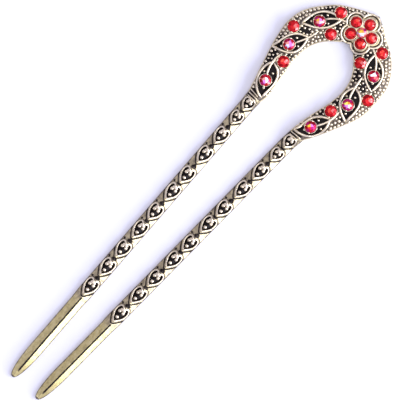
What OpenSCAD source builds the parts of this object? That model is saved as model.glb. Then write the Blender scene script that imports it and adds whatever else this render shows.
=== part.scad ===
// U-shaped hair fork: one casting with raised hearts, leaves and a flower, and cut stones in its seats.
// Millimetres. The flat back lies on Z = 0, the legs point to -X and the point of the arch to +X.
// The drawing's own zero is on the mid line between the legs, at the neck where the arch starts.

/* [Legs] */
// Length of a leg from its tip to the neck of the arch
leg_len = 90; // [86:1:100]
// Distance from the mid line to a leg's centre line at its tip
tip_offset = 4; // [3.5:0.1:4.6]
// Length of the plain blade before the first heart
plain_len = 25; // [12:1:26]
// Width of the plain blade
blade_w = 3.5; // [3.2:0.1:3.8]
// Width of the decorated stretch
leg_w = 3.8; // [3.7:0.05:4]
// Height of the ridge along a leg
ridge_h = 2; // [1.7:0.1:2.4]
// Height of a leg's upright edge
leg_edge_h = 0.7; // [0.5:0.1:1]

/* [Arch] */
// Height of the arch's ground along its middle
crown_h = 2.3; // [2:0.1:2.8]
// Height of the arch's upright edge
arch_edge_h = 1; // [0.7:0.1:1.3]

/* [Relief] */
// Height of the leaf and petal rims over the ground
rim_h = 0.45; // [0.2:0.05:0.6]
// Width of a leaf's rim
rim_w = 0.5; // [0.35:0.05:0.65]
// Height of the hearts over the leg's surface
heart_h = 0.15; // [0.05:0.05:0.3]
// Width of a heart's band
band_w = 0.42; // [0.3:0.02:0.5]
// Depth of the recess inside a heart
pocket_depth = 0.35; // [0.15:0.05:0.5]

/* [Stones] */
// Clearance between a stone and its seat
stone_gap = 0.06; // [0.05:0.01:0.1]
// Wall of the collar round a stone at its top
collar_w = 0.2; // [0.15:0.05:0.3]
// Height of a collar's top over the ground
collar_h = 0.4; // [0.2:0.05:0.6]
// Height of a stone's crown over its girdle
stone_crown_h = 0.55; // [0.4:0.05:0.8]

/* [Hidden] */
GOLD = "#B9A878";
RED = "#D3202A";
IRIS = "#D0509A";

// Columns: distance from the tip, share of the full width, share of the full height
TIP = [
    [0, 0.26, 0.42],
    [0.5, 0.45, 0.57],
    [1.3, 0.62, 0.7],
    [2.6, 0.77, 0.82],
    [5, 0.9, 0.92],
    [9, 1, 1],
];

// Columns: x and y of the outer edge, x and y of the inner edge, from the neck towards the point
ARCH_UPPER = [
    [0, 8.9, 0, 4.85],
    [3, 9.7, 2.4, 4.5],
    [6, 10.6, 6.5, 5],
    [9, 11.45, 9.8, 5.4],
    [12, 12.3, 13, 5.75],
    [15, 12.95, 16, 5.7],
    [18.5, 13.4, 18.3, 5.2],
    [22, 12.95, 20.3, 4.2],
    [25, 11.6, 21.9, 2.95],
    [27.9, 9.35, 23.1, 1.65],
    [30.4, 6.9, 24.2, 0.35],
    [32.3, 3.8, 25, -0.8],
    [33.9, 0.5, 25.5, -1.5],
];
POINT = [35, -2.3, 25.7, -1.85];
ARCH_LOWER = [
    [0, -9.05, 0, -5.1],
    [2.3, -10.35, 2.8, -5.5],
    [5.3, -11.9, 5.6, -6.15],
    [8.3, -13.3, 8.4, -6.85],
    [11.5, -14.75, 11.2, -7.6],
    [14.8, -15.75, 14.2, -8.05],
    [18.3, -16, 17, -7.95],
    [22, -15.8, 19.2, -7.35],
    [25.2, -14.75, 20.8, -6.5],
    [28.1, -12.7, 22.1, -5.5],
    [30.3, -10.3, 23.2, -4.5],
    [32, -7.3, 24.4, -3.3],
    [33.6, -5, 25.3, -2.4],
];

// Columns: place across a section, height share of a roof, height share of a dome
PROFILE = [
    [0, 0, 0],
    [0.18, 0.4, 0.7],
    [0.45, 1, 1],
    [0.55, 1, 1],
    [0.82, 0.4, 0.7],
    [1, 0, 0],
];

// Length over which the blade widens to the decorated stretch, and over which a leg turns into the arch
flare_len = 3;
neck_len = 2;

HEART_SIDES = 10;
SCROLL_SIDES = 8;
// Shares of a heart's width: a lobe's radius, a flank's radius, how far a flank reaches from the axis,
// a scroll's radius, a scroll's distance from the axis, the cleft's width, a kite's half width
LOBE_R = 0.3;
FLANK_R = 0.4;
FLANK_REACH = 0.46;
SCROLL_R = 0.145;
SCROLL_OUT = 0.17;
CLEFT_W = 0.26;
KITE_W = 0.2;
// Shares of a heart's length, from its middle: a flank, a scroll, the cleft and the cleft's length,
// and the start and the widest place of a kite
FLANK_X = 0.04;
SCROLL_X = 0.19;
CLEFT_X = 0.3;
CLEFT_LEN = 0.16;
KITE_START = 0.41;
KITE_WIDE = 0.54;
heart_point_r = 0.1;
kite_end_gap = 0.12;
// Columns: distance of a heart's middle from the neck, its length, its width
HEARTS = [
    [61.1, 4.9, 3.2],
    [54.8, 4.9, 3.14],
    [49, 4.7, 3.2],
    [42.7, 4.9, 3.14],
    [37, 4.6, 3.2],
    [30.6, 4.8, 3.14],
    [25.2, 4.6, 3.2],
    [18.7, 4.8, 3.14],
    [12.5, 4.6, 3.2],
    [6.7, 3.6, 2.9],
    [2.4, 3.5, 2.9],
];

// Columns: pointed tip, two handles of the outer rim, two handles of the inner rim, join of the rims,
// start of the vein, two handles of the vein, end of the stem
LEAVES = [
    [
        [1, 5.5], [1.2, 9], [6.5, 11.3], [4.3, 5.6], [8.6, 4.5], [9.3, 9.2],
        [5.9, 8.2], [7.6, 9.3], [10.2, 9.7], [12.3, 9],
    ],
    [
        [12, 12.2], [14, 11], [18.6, 11.9], [12.8, 8.6], [13.9, 5.4], [19.4, 7],
        [16.2, 8.5], [17.9, 7.7], [19.8, 6.5], [22.3, 6.2],
    ],
    [
        [20.9, 10.5], [23.2, 10.3], [28.2, 10], [22, 8.9], [22.2, 4.8], [28.2, 3.9],
        [25.4, 7], [26.9, 5.9], [28.2, 4.2], [28.6, 2.3],
    ],
    [
        [0.7, -5.5], [0.6, -9.2], [3.9, -12.6], [2.6, -7.2], [6.6, -5.2], [8.4, -10.4],
        [4.9, -8.9], [6.6, -10.2], [8.6, -11], [11.2, -10.8],
    ],
    [
        [10.5, -13.6], [13.4, -13.5], [17.6, -14.6], [11.6, -9.6], [14.3, -7.5], [18.2, -9.6],
        [15.1, -10.6], [16.4, -9.8], [18.6, -9.6], [21.3, -9.2],
    ],
    [
        [20.1, -13.2], [23, -13.5], [26.5, -13.6], [21.2, -9.3], [23, -7.4], [27.3, -7.8],
        [24.35, -10.6], [26.2, -9.6], [27.7, -7.9], [28.2, -5.9],
    ],
];
RIM_STEPS = 6;
VEIN_STEPS = 4;
vein_share = 0.85;

// Columns: x, y
PETAL_STONES = [[27.15, 0.07], [30.05, 0.93], [31.8, -1.97], [29.65, -4.43], [26.92, -3.38]];
FLOWER = [29.1, -1.83];
LEAF_STONES = [[4.75, 7.6], [15.05, 9.3], [24.15, 7.6], [3.85, -8.18], [13.92, -11.25], [23.22, -11.07]];
ROUND_STONES = [
    [11, 7.5],
    [19.03, 11.45],
    [23.75, 3.5],
    [29.2, 5.17],
    [10, -9.22],
    [17.98, -14.03],
    [23.5, -6.6],
    [28.75, -8.8],
];
petal_stone_r = 1.3;
centre_stone_r = 1.2;
leaf_stone_r = 1.38;
round_stone_r = 1.42;
STONE_SIDES = 16;
COLLAR_SIDES = 12;
TABLE_SIDES = 8;
table_share = 0.6;
back_share = 0.55;
girdle_h = 0.12;
stone_back_h = 0.8;
seat_floor = 0.1;
collar_root = 0.6;
// Wall of a collar at its foot against its top
collar_foot = 1.6;
// Thickness of the discs that hulls are drawn over
sliver = 0.02;
// How much of the dome's slope a stone leans by
lean_share = 0.6;

// How much further out than its stone each petal's rim lies
PETAL_SHIFTS = [0.05, 0.05, 0.4, 0.38, 0.2];
petal_inner_r = 1.72;
petal_outer_r = 2.35;
PETAL_SIDES = 18;
// Radius of the plain field's end near the point of the arch
field_end_r = 0.3;

above = 6;
slope_step = 0.02;
leg_slope = atan((neck_offset() - tip_offset) / leg_len);

// A leg's centre line meets the arch at the middle of the arch's first section
function neck_offset() = (ARCH_UPPER[0][1] + ARCH_UPPER[0][3]) / 2;
function leg_centre(x) = neck_offset() + x * tan(leg_slope);

// A section is: outer point, inner point, edge height, crown height, share of the dome against the roof
function leg_section(x, side, w, high, edge) = [
    [x, side * (leg_centre(x) + w / 2)],
    [x, side * (leg_centre(x) - w / 2)],
    edge,
    high,
    0,
];

function leg_sections(side) = concat(
    [for (t = TIP) leg_section(t[0] - leg_len, side, t[1] * blade_w, t[2] * ridge_h, t[2] * leg_edge_h)],
    [
        leg_section(plain_len - leg_len - flare_len / 3, side, blade_w, ridge_h, leg_edge_h),
        leg_section(plain_len - leg_len + flare_len * 2 / 3, side, leg_w, ridge_h, leg_edge_h),
        leg_section(-neck_len, side, leg_w, ridge_h, leg_edge_h),
    ]
);

function arch_section(row) = [[row[0], row[1]], [row[2], row[3]], arch_edge_h, crown_h, 1];
function arch_sections(rows) = [for (row = rows) arch_section(row)];
function reversed(list) = [for (i = [len(list) - 1:-1:0]) list[i]];

ARCH = concat(arch_sections(ARCH_UPPER), [arch_section(POINT)], reversed(arch_sections(ARCH_LOWER)));
SECTIONS = concat(leg_sections(1), ARCH, reversed(leg_sections(-1)));

// Middle of the outline, which the model is moved by so that its own zero lies there
outline_y = [for (s = SECTIONS) s[0][1]];
middle_y = (max(outline_y) + min(outline_y)) / 2;
middle_x = (POINT[0] - leg_len) / 2;

// One ring of a section's points, from the outer foot over the top to the inner foot
function ring(s, lift) = concat(
    [[s[0][0], s[0][1], 0]],
    [
        for (p = PROFILE)
            let (share = p[1] + (p[2] - p[1]) * s[4], xy = s[0] + (s[1] - s[0]) * p[0])
            [xy[0], xy[1], s[2] + (s[3] - s[2]) * share + lift]
    ],
    [[s[1][0], s[1][1], 0]]
);

// Whole fork without ornament, with its upper side raised by lift
module skin(lift) {
    rings = [for (s = SECTIONS) ring(s, lift)];
    n = len(rings[0]);
    last = len(rings) - 1;
    points = [for (r = rings) each r];
    sides = [
        for (i = [0:last - 1], j = [0:n - 1])
            let (a = i * n + j, b = i * n + (j + 1) % n)
            each [[a, b + n, b], [a, a + n, b + n]]
    ];
    start_cap = [[for (j = [0:n - 1]) j]];
    end_cap = [[for (j = [n - 1:-1:0]) last * n + j]];
    polyhedron(points, concat(sides, start_cap, end_cap), convexity = 6);
}

// Flat ornament raised to lift over the ground
module raised(lift) {
    intersection() {
        translate([0, 0, arch_edge_h / 2])
            linear_extrude(above)
                children();
        skin(lift);
    }
}

// Flat ornament cut down to depth under the ground
module sunk(depth) {
    difference() {
        linear_extrude(above)
            children();
        skin(-depth);
    }
}

// The nearest section of the arch, and the place and height of a point on it
function across(s, p) = ((p - s[0]) * (s[1] - s[0])) / ((s[1] - s[0]) * (s[1] - s[0]));
function away(s, p) = norm(p - s[0] - (s[1] - s[0]) * min(1, max(0, across(s, p))));
function nearest(p) = let (d = [for (s = ARCH) away(s, p)]) ARCH[search(min(d), d)[0]];
function dome(share) = lookup(share, [for (p = PROFILE) [p[0], p[2]]]);
function ground(p) = arch_edge_h + (crown_h - arch_edge_h) * dome(across(nearest(p), p));
function unit(v) = v / norm(v);
function inward(p) = let (s = nearest(p)) unit(s[1] - s[0]);
function slope(p) =
    let (s = nearest(p), t = across(s, p), rise = dome(t + slope_step) - dome(t - slope_step))
    rise * (crown_h - arch_edge_h) / (2 * slope_step * norm(s[1] - s[0]));

// Places a stone's own frame, whose zero is on the ground, at a point of the arch
module at_seat(p) {
    dir = inward(p);
    translate([p[0], p[1], ground(p)])
        rotate(a = -lean_share * atan(slope(p)), v = [-dir[1], dir[0], 0])
            children();
}

// Moves what is drawn from the neck's zero to the middle of the outline
module placed() {
    translate([-middle_x, -middle_y, 0])
        children();
}

// A heart that points to -X, drawn from two halves that overlap at the cleft
module heart(length, w) {
    lobe_r = LOBE_R * w;
    flank_r = FLANK_R * w;
    for (side = [-1, 1])
        hull() {
            translate([length / 2 - lobe_r, side * (w / 2 - lobe_r)])
                circle(lobe_r, $fn = HEART_SIDES);
            translate([FLANK_X * length, side * (FLANK_REACH * w - flank_r)])
                circle(flank_r, $fn = HEART_SIDES);
            translate([heart_point_r - length / 2, 0])
                circle(heart_point_r, $fn = 4);
        }
}

// The recess inside a heart, round the two scroll ends
module heart_recess(length, w) {
    difference() {
        offset(delta = -band_w)
            heart(length, w);
        for (side = [-1, 1])
            translate([SCROLL_X * length, side * SCROLL_OUT * w])
                circle(SCROLL_R * w, $fn = SCROLL_SIDES);
        translate([CLEFT_X * length, 0])
            square([CLEFT_LEN * length, CLEFT_W * w], center = true);
    }
}

// The kite-shaped recess between a heart's cleft and the point of the next heart
module kite_recess(length, w, room) {
    polygon([
        [KITE_START * length, 0],
        [KITE_WIDE * length, KITE_W * w],
        [length / 2 + room - kite_end_gap, 0],
        [KITE_WIDE * length, -KITE_W * w],
    ]);
}

// Puts each child that is drawn for a heart at its place on both legs
module on_legs(row) {
    for (side = [-1, 1])
        translate([-row[0], side * leg_centre(-row[0])])
            rotate(side * leg_slope)
                children();
}

module hearts() {
    for (row = HEARTS)
        on_legs(row)
            heart(row[1], row[2]);
}

module heart_recesses() {
    for (i = [0:len(HEARTS) - 1]) {
        row = HEARTS[i];
        on_legs(row)
            heart_recess(row[1], row[2]);
        if (i < len(HEARTS) - 1)
            on_legs(row)
                kite_recess(row[1], row[2], row[0] - HEARTS[i + 1][0] - (row[1] + HEARTS[i + 1][1]) / 2);
    }
}

// Points of a cubic curve from its two ends and two handles
function curve_point(a, b, c, d, t) =
    a * pow(1 - t, 3) + 3 * b * t * pow(1 - t, 2) + 3 * c * t * t * (1 - t) + d * pow(t, 3);
function curve(a, b, c, d, steps) = [for (i = [0:steps]) curve_point(a, b, c, d, i / steps)];
function turned(v) = [-v[1], v[0]];
function along(points, i) = unit(points[min(i + 1, len(points) - 1)] - points[max(i - 1, 0)]);
function beside(points, offset_by) = [
    for (i = [0:len(points) - 1]) points[i] + turned(along(points, i)) * offset_by
];

// A band of even width along a curve
module band(points, w) {
    polygon(concat(beside(points, w / 2), reversed(beside(points, -w / 2))));
}

module leaf_rims() {
    for (leaf = LEAVES) {
        band(curve(leaf[0], leaf[1], leaf[2], leaf[5], RIM_STEPS), rim_w);
        band(curve(leaf[0], leaf[3], leaf[4], leaf[5], RIM_STEPS), rim_w);
        band(curve(leaf[6], leaf[7], leaf[8], leaf[9], VEIN_STEPS), vein_share * rim_w);
    }
}

function petal_centre(i) = PETAL_STONES[i] + unit(PETAL_STONES[i] - FLOWER) * PETAL_SHIFTS[i];

// Rims of the petals, and the plain field that fills the point of the arch
module petal_rims() {
    difference() {
        union() {
            for (i = [0:len(PETAL_STONES) - 1])
                translate(petal_centre(i))
                    circle(petal_outer_r, $fn = PETAL_SIDES);
            hull() {
                translate(petal_centre(2))
                    circle(petal_outer_r, $fn = PETAL_SIDES);
                translate([POINT[0] - field_end_r - 0.1, POINT[1]])
                    circle(field_end_r, $fn = 8);
            }
        }
        for (i = [0:len(PETAL_STONES) - 1])
            translate(petal_centre(i))
                circle(petal_inner_r, $fn = PETAL_SIDES);
        translate(FLOWER)
            circle(centre_stone_r, $fn = STONE_SIDES);
    }
}

// Collar that holds a stone of radius r, in the stone's own frame
module collar(r) {
    hull() {
        translate([0, 0, -collar_root])
            cylinder(h = sliver, r = r + stone_gap + collar_foot * collar_w, $fn = COLLAR_SIDES);
        translate([0, 0, collar_h - sliver])
            cylinder(h = sliver, r = r + stone_gap + collar_w, $fn = COLLAR_SIDES);
    }
}

// Hole under a stone of radius r
module seat(r) {
    floor_z = collar_h - stone_back_h - seat_floor;
    translate([0, 0, floor_z])
        cylinder(h = above, r = r + stone_gap, $fn = STONE_SIDES);
}

// Puts what is drawn for a stone's radius at every stone's place
module collars() {
    at_seat(FLOWER) collar(centre_stone_r);
    for (p = PETAL_STONES) at_seat(p) collar(petal_stone_r);
    for (p = LEAF_STONES) at_seat(p) collar(leaf_stone_r);
    for (p = ROUND_STONES) at_seat(p) collar(round_stone_r);
}

module seats() {
    at_seat(FLOWER) seat(centre_stone_r);
    for (p = PETAL_STONES) at_seat(p) seat(petal_stone_r);
    for (p = LEAF_STONES) at_seat(p) seat(leaf_stone_r);
    for (p = ROUND_STONES) at_seat(p) seat(round_stone_r);
}

// Cut stone with a flat table, a crown of facets, a girdle and a tapered back
module cut_stone(r) {
    hull() {
        translate([0, 0, collar_h - stone_back_h])
            cylinder(h = sliver, r = back_share * r, $fn = TABLE_SIDES);
        translate([0, 0, collar_h - girdle_h])
            cylinder(h = girdle_h, r = r, $fn = STONE_SIDES);
        translate([0, 0, collar_h + stone_crown_h - sliver])
            cylinder(h = sliver, r = table_share * r, $fn = TABLE_SIDES);
    }
}

module fork() {
    color(GOLD)
        placed()
            difference() {
                union() {
                    skin(0);
                    raised(rim_h) {
                        leaf_rims();
                        petal_rims();
                    }
                    raised(heart_h) hearts();
                    collars();
                }
                sunk(pocket_depth) heart_recesses();
                seats();
            }
}

module centre_stone() {
    color(IRIS) placed() at_seat(FLOWER) cut_stone(centre_stone_r);
}

module petal_stone(i) {
    color(RED) placed() at_seat(PETAL_STONES[i - 1]) cut_stone(petal_stone_r);
}

module leaf_stone(i) {
    color(IRIS) placed() at_seat(LEAF_STONES[i - 1]) cut_stone(leaf_stone_r);
}

module round_stone(i) {
    color(RED) placed() at_seat(ROUND_STONES[i - 1]) cut_stone(round_stone_r);
}

fork();
centre_stone();
for (i = [1:len(PETAL_STONES)])
    petal_stone(i);
for (i = [1:len(LEAF_STONES)])
    leaf_stone(i);
for (i = [1:len(ROUND_STONES)])
    round_stone(i);
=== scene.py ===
"""Looks of a U-shaped hair fork: an antiqued brass casting with hearts, leaves, a flower and cut stones.

Tables and sizes are millimetres in the drawing's frame, whose zero is on the mid line between the legs,
at the neck where the arch starts; x runs to the point of the arch. Meshes are built in metres.
"""

import logging
import math
from dataclasses import dataclass, fields
from enum import Enum
from itertools import product
from typing import Any, Iterable, NamedTuple, Sequence

import bpy
import numpy as np
from mathutils import Matrix, Vector
from mathutils.bvhtree import BVHTree


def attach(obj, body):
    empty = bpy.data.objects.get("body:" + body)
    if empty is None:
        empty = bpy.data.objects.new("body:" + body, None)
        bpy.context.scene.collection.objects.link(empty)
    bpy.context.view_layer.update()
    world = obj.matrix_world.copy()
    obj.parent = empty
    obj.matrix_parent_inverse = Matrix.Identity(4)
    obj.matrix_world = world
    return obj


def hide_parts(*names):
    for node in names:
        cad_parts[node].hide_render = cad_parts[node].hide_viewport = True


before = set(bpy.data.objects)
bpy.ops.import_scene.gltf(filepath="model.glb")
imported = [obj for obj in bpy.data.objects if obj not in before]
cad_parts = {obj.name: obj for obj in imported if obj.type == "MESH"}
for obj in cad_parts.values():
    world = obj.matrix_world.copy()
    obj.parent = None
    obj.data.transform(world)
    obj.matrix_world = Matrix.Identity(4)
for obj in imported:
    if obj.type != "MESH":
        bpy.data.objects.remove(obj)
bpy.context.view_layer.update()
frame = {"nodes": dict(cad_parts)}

log = logging.getLogger("hair_fork")

MM = 0.001
BODY = "root"
# Names of what the meshes carry for their trees and finishes
# Patina, with painted shade on the necks and beside the blades' ridges
PATINA_AND_SHADE = "patina"
FACET_COLOUR_AND_GLINT = "facet"
BEAD_RADIUS = "bead_radius"
UPRIGHT = "upright"
TAPER = "taper"

Array = np.ndarray
Point = tuple[float, float]
Colour = tuple[float, float, float, float]
Piece = bpy.types.Object


class Side(Enum):
    """The two halves of the fork, by the sign of y."""

    UPPER = 1
    LOWER = -1


LEG_SIDES = {"upper_leg": Side.UPPER, "lower_leg": Side.LOWER}


# Sizes and tables

LEG_LEN = 90.0
TIP_OFFSET = 4.0
PLAIN_LEN = 25.0
BLADE_W = 3.5
LEG_W = 3.8
RIDGE_H = 2.0
LEG_EDGE_H = 0.7
CROWN_H = 2.3
ARCH_EDGE_H = 1.0
NECK_OFFSET = 6.875
LEG_TAN = (NECK_OFFSET - TIP_OFFSET) / LEG_LEN


class Section(NamedTuple):
    """One section of the arch: x and y of its outer edge, x and y of its inner edge."""

    outer_x: float
    outer_y: float
    inner_x: float
    inner_y: float


ARCH_UPPER = (
    Section(0, 8.9, 0, 4.85),
    Section(3, 9.7, 2.4, 4.5),
    Section(6, 10.6, 6.5, 5),
    Section(9, 11.45, 9.8, 5.4),
    Section(12, 12.3, 13, 5.75),
    Section(15, 12.95, 16, 5.7),
    Section(18.5, 13.4, 18.3, 5.2),
    Section(22, 12.95, 20.3, 4.2),
    Section(25, 11.6, 21.9, 2.95),
    Section(27.9, 9.35, 23.1, 1.65),
    Section(30.4, 6.9, 24.2, 0.35),
    Section(32.3, 3.8, 25, -0.8),
    Section(33.9, 0.5, 25.5, -1.5),
)
POINT = Section(35, -2.3, 25.7, -1.85)
ARCH_LOWER = (
    Section(0, -9.05, 0, -5.1),
    Section(2.3, -10.35, 2.8, -5.5),
    Section(5.3, -11.9, 5.6, -6.15),
    Section(8.3, -13.3, 8.4, -6.85),
    Section(11.5, -14.75, 11.2, -7.6),
    Section(14.8, -15.75, 14.2, -8.05),
    Section(18.3, -16, 17, -7.95),
    Section(22, -15.8, 19.2, -7.35),
    Section(25.2, -14.75, 20.8, -6.5),
    Section(28.1, -12.7, 22.1, -5.5),
    Section(30.3, -10.3, 23.2, -4.5),
    Section(32, -7.3, 24.4, -3.3),
    Section(33.6, -5, 25.3, -2.4),
)
ARCH_HALVES = {Side.UPPER: ARCH_UPPER, Side.LOWER: ARCH_LOWER}
OUTER_Y = [row.outer_y for row in ARCH_UPPER + ARCH_LOWER]
# Where the drawing's zero lies in the model
DRAWING_ZERO = np.array([(LEG_LEN - POINT.outer_x) / 2, -(max(OUTER_Y) + min(OUTER_Y)) / 2, 0.0])


class Heart(NamedTuple):
    """A heart on a leg: distance of its middle from the neck, its length and its width."""

    back: float
    length: float
    width: float


HEARTS = (
    Heart(61.1, 4.9, 3.2),
    Heart(54.8, 4.9, 3.14),
    Heart(49, 4.7, 3.2),
    Heart(42.7, 4.9, 3.14),
    Heart(37, 4.6, 3.2),
    Heart(30.6, 4.8, 3.14),
    Heart(25.2, 4.6, 3.2),
    Heart(18.7, 4.8, 3.14),
    Heart(12.5, 4.6, 3.2),
    Heart(6.7, 3.6, 2.9),
    Heart(2.4, 3.5, 2.9),
)


class Leaf(NamedTuple):
    """A leaf: its pointed tip, two handles of each rim, the rims' join, the vein and three seeds."""

    tip: Point
    outer: tuple[Point, Point]
    inner: tuple[Point, Point]
    join: Point
    vein: tuple[Point, Point, Point, Point]
    seeds: tuple[Point, Point, Point]


LEAVES = (
    Leaf((1, 5.5), ((1.2, 9), (6.5, 11.3)), ((4.3, 5.6), (8.6, 4.5)), (9.3, 9.2),
         ((5.9, 8.2), (7.6, 9.3), (10.2, 9.7), (12.3, 9)), ((6.2, 9.2), (7.2, 7.4), (3.1, 6.7))),
    Leaf((12, 12.2), ((14, 11), (18.6, 11.9)), ((12.8, 8.6), (13.9, 5.4)), (19.4, 7),
         ((16.2, 8.5), (17.9, 7.7), (19.8, 6.5), (22.3, 6.2)), ((13.5, 10.4), (17.5, 9), (16.2, 7.4))),
    Leaf((20.9, 10.5), ((23.2, 10.3), (28.2, 10)), ((22, 8.9), (22.2, 4.8)), (28.2, 3.9),
         ((25.4, 7), (26.9, 5.9), (28.2, 4.2), (28.6, 2.3)), ((22.9, 9.1), (26.6, 7.2), (25.2, 5.7))),
    Leaf((0.7, -5.5), ((0.6, -9.2), (3.9, -12.6)), ((2.6, -7.2), (6.6, -5.2)), (8.4, -10.4),
         ((4.9, -8.9), (6.6, -10.2), (8.6, -11), (11.2, -10.8)), ((2.3, -7.5), (6.3, -8.5), (5.2, -10.3))),
    Leaf((10.5, -13.6), ((13.4, -13.5), (17.6, -14.6)), ((11.6, -9.6), (14.3, -7.5)), (18.2, -9.6),
         ((15.1, -10.6), (16.4, -9.8), (18.6, -9.6), (21.3, -9.2)),
         ((15.3, -9.6), (16.4, -11.3), (12, -12.2))),
    Leaf((20.1, -13.2), ((23, -13.5), (26.5, -13.6)), ((21.2, -9.3), (23, -7.4)), (27.3, -7.8),
         ((24.35, -10.6), (26.2, -9.6), (27.7, -7.9), (28.2, -5.9)),
         ((24.3, -9.1), (25.6, -10.8), (21.8, -12.1))),
)

FLOWER = np.array([29.1, -1.83])
# How much further out than its stone each petal's rim lies
PETAL_SHIFTS = (0.05, 0.05, 0.4, 0.38, 0.2)
# The petal that looks to the point of the arch
POINT_PETAL = 2


class Patch(NamedTuple):
    """A round patch of the arch's ground that stayed black: its middle and radius."""

    x: float
    y: float
    radius: float


# Width of a patch's soft edge
PATCH_EDGE = 0.6
DARK_GROUND = (
    Patch(10.3, 10.6, 2.1),
    Patch(8.2, 10.5, 1.1),
    Patch(1.2, 7.9, 1.3),
    Patch(20.2, 8.6, 1.8),
    Patch(26.3, 3.3, 1.7),
    Patch(28.2, 8.0, 1.4),
    Patch(13.0, 7.2, 1.1),
    Patch(14.8, 12.5, 1.3),
    Patch(30.9, 4.9, 0.9),
    Patch(32.2, 2.6, 1.0),
    Patch(33.3, 0.8, 1.0),
    Patch(19.8, -10.8, 1.8),
    Patch(26.0, -6.6, 1.5),
    Patch(23.8, -4.6, 1.0),
    Patch(8.0, -7.3, 1.7),
    Patch(12.4, -8.6, 1.4),
    Patch(20.5, -7.9, 1.7),
    Patch(10.3, -12.3, 1.0),
    Patch(0.4, -7.0, 1.5),
)


class Bar(NamedTuple):
    """A raised bar across the neck: its two ends."""

    start: Point
    end: Point


NECK_BARS = (
    Bar((-0.75, 5.9), (-0.7, 8.4)),
    Bar((-0.1, 5.8), (0.0, 8.6)),
    Bar((0.5, 6.2), (0.85, 8.9)),
    Bar((-0.75, -5.5), (-0.7, -8.2)),
    Bar((-0.12, -5.4), (0.1, -8.5)),
)


class StoneKind(Enum):
    """Stones of the fork, by the start of their node's name."""

    PETAL = "petal_stone"
    CENTRE = "centre_stone"
    LEAF = "leaf_stone"
    ROUND = "round_stone"


# Curves, distances and frames


def hex_linear(code: str) -> Colour:
    """Turn an sRGB hex colour to linear.

    Args:
        code: The colour as #RRGGBB.

    Returns:
        Red, green, blue and a full alpha, linear.
    """
    channels = []
    for start in (1, 3, 5):
        value = int(code[start : start + 2], 16) / 255
        channels.append(value / 12.92 if value <= 0.04045 else ((value + 0.055) / 1.055) ** 2.4)
    return (*channels, 1.0)


def smoothstep(low: float, high: float, value: Array | float) -> Array:
    """Ease from 0 at low to 1 at high; low may lie above high."""
    share = np.clip((np.asarray(value, float) - low) / (high - low), 0.0, 1.0)
    return share * share * (3 - 2 * share)


def cubic(ends: Sequence[Sequence[float]], steps: int) -> Array:
    """Sample a cubic curve.

    Args:
        ends: Start, two handles and end.
        steps: Number of steps along it.

    Returns:
        The points, steps + 1 rows.
    """
    a, b, c, d = (np.asarray(end, float) for end in ends)
    t = np.linspace(0, 1, steps + 1)[:, None]
    return a * (1 - t) ** 3 + 3 * b * t * (1 - t) ** 2 + 3 * c * t * t * (1 - t) + d * t**3


def through(rows: Array, steps: int) -> Array:
    """Run a smooth curve through rows of numbers (a Catmull-Rom spline).

    Args:
        rows: The rows to pass through; the first and last are only looked at for direction.
        steps: Samples for each span.

    Returns:
        Samples from the second row to the last but one, both included.
    """
    out = []
    t = np.arange(steps)[:, None] / steps
    for before, start, end, after in zip(rows[:-3], rows[1:-2], rows[2:-1], rows[3:]):
        out.append(
            start
            + 0.5 * t * (end - before)
            + t**2 * (before - 2.5 * start + 2 * end - 0.5 * after)
            + t**3 * (1.5 * (start - end) + 0.5 * (after - before))
        )
    out.append(rows[-2][None, :])
    return np.vstack(out)


def path_distance(places: Array, path: Array) -> Array:
    """Distance of each place from a path.

    Args:
        places: Points, two columns.
        path: The path's points, two columns.

    Returns:
        One distance for each place.
    """
    best = np.full(len(places), np.inf)
    for start, end in zip(path[:-1], path[1:]):
        run = end - start
        share = np.clip(((places - start) @ run) / max(run @ run, 1e-12), 0, 1)
        best = np.minimum(best, np.linalg.norm(places - start - share[:, None] * run, axis=1))
    return best


def edge_distance(places: Array, outer: Array, inner: Array) -> Array:
    """Distance of each place from the nearer of two edges."""
    return np.minimum(path_distance(places, outer), path_distance(places, inner))


def spot_distance(places: Array, spots: Array) -> Array:
    """Distance of each place from the nearest of some spots, all with two columns."""
    return np.linalg.norm(places[:, None, :] - np.atleast_2d(spots)[None], axis=2).min(axis=1)


def closed(outline: Array) -> Array:
    """An outline as a path that comes back to its start."""
    return np.vstack([outline, outline[:1]])


def is_inside(places: Array, outline: Array) -> Array:
    """Say which places lie inside a closed outline.

    Args:
        places: Points, two columns.
        outline: The outline's corners in order, two columns.

    Returns:
        True or False for each place.
    """
    inside = np.zeros(len(places), bool)
    for (x0, y0), (x1, y1) in zip(outline, np.roll(outline, -1, axis=0)):
        if y0 == y1:
            continue
        crosses = (places[:, 1] < y0) != (places[:, 1] < y1)
        inside ^= crosses & (places[:, 0] < x0 + (places[:, 1] - y0) * (x1 - x0) / (y1 - y0))
    return inside


def to_model(points: Array) -> Array:
    """Move points from the drawing's frame to the model's, and from millimetres to metres."""
    return (points + DRAWING_ZERO) * MM


def leg_y(x: Array | float, side: Side) -> Array | float:
    """The y of a leg's centre line at x."""
    return side.value * (NECK_OFFSET + x * LEG_TAN)


def leaf_rims(leaf: Leaf, steps: int = 24) -> list[Array]:
    """The two rims of a leaf, each from its tip to the join."""
    return [cubic((leaf.tip, *handles, leaf.join), steps) for handles in (leaf.outer, leaf.inner)]


def leaf_outline(leaf: Leaf) -> Array:
    """The outline of a leaf, from its tip along the outer rim and back to it along the inner one."""
    outer, inner = leaf_rims(leaf)
    return np.vstack([outer, inner[-2::-1]])


def grid_faces(rows: int, columns: int, start: int = 0) -> list[list[int]]:
    """Join a grid of corners with four-sided faces.

    Args:
        rows: Rows of corners.
        columns: Corners in a row.
        start: Number of the first corner.

    Returns:
        Corner numbers of each face.
    """
    i, j = np.meshgrid(np.arange(rows - 1), np.arange(columns - 1), indexing="ij")
    first = (start + i * columns + j).ravel()
    return np.column_stack([first, first + 1, first + 1 + columns, first + columns]).tolist()


# Nodes and finishes


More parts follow.
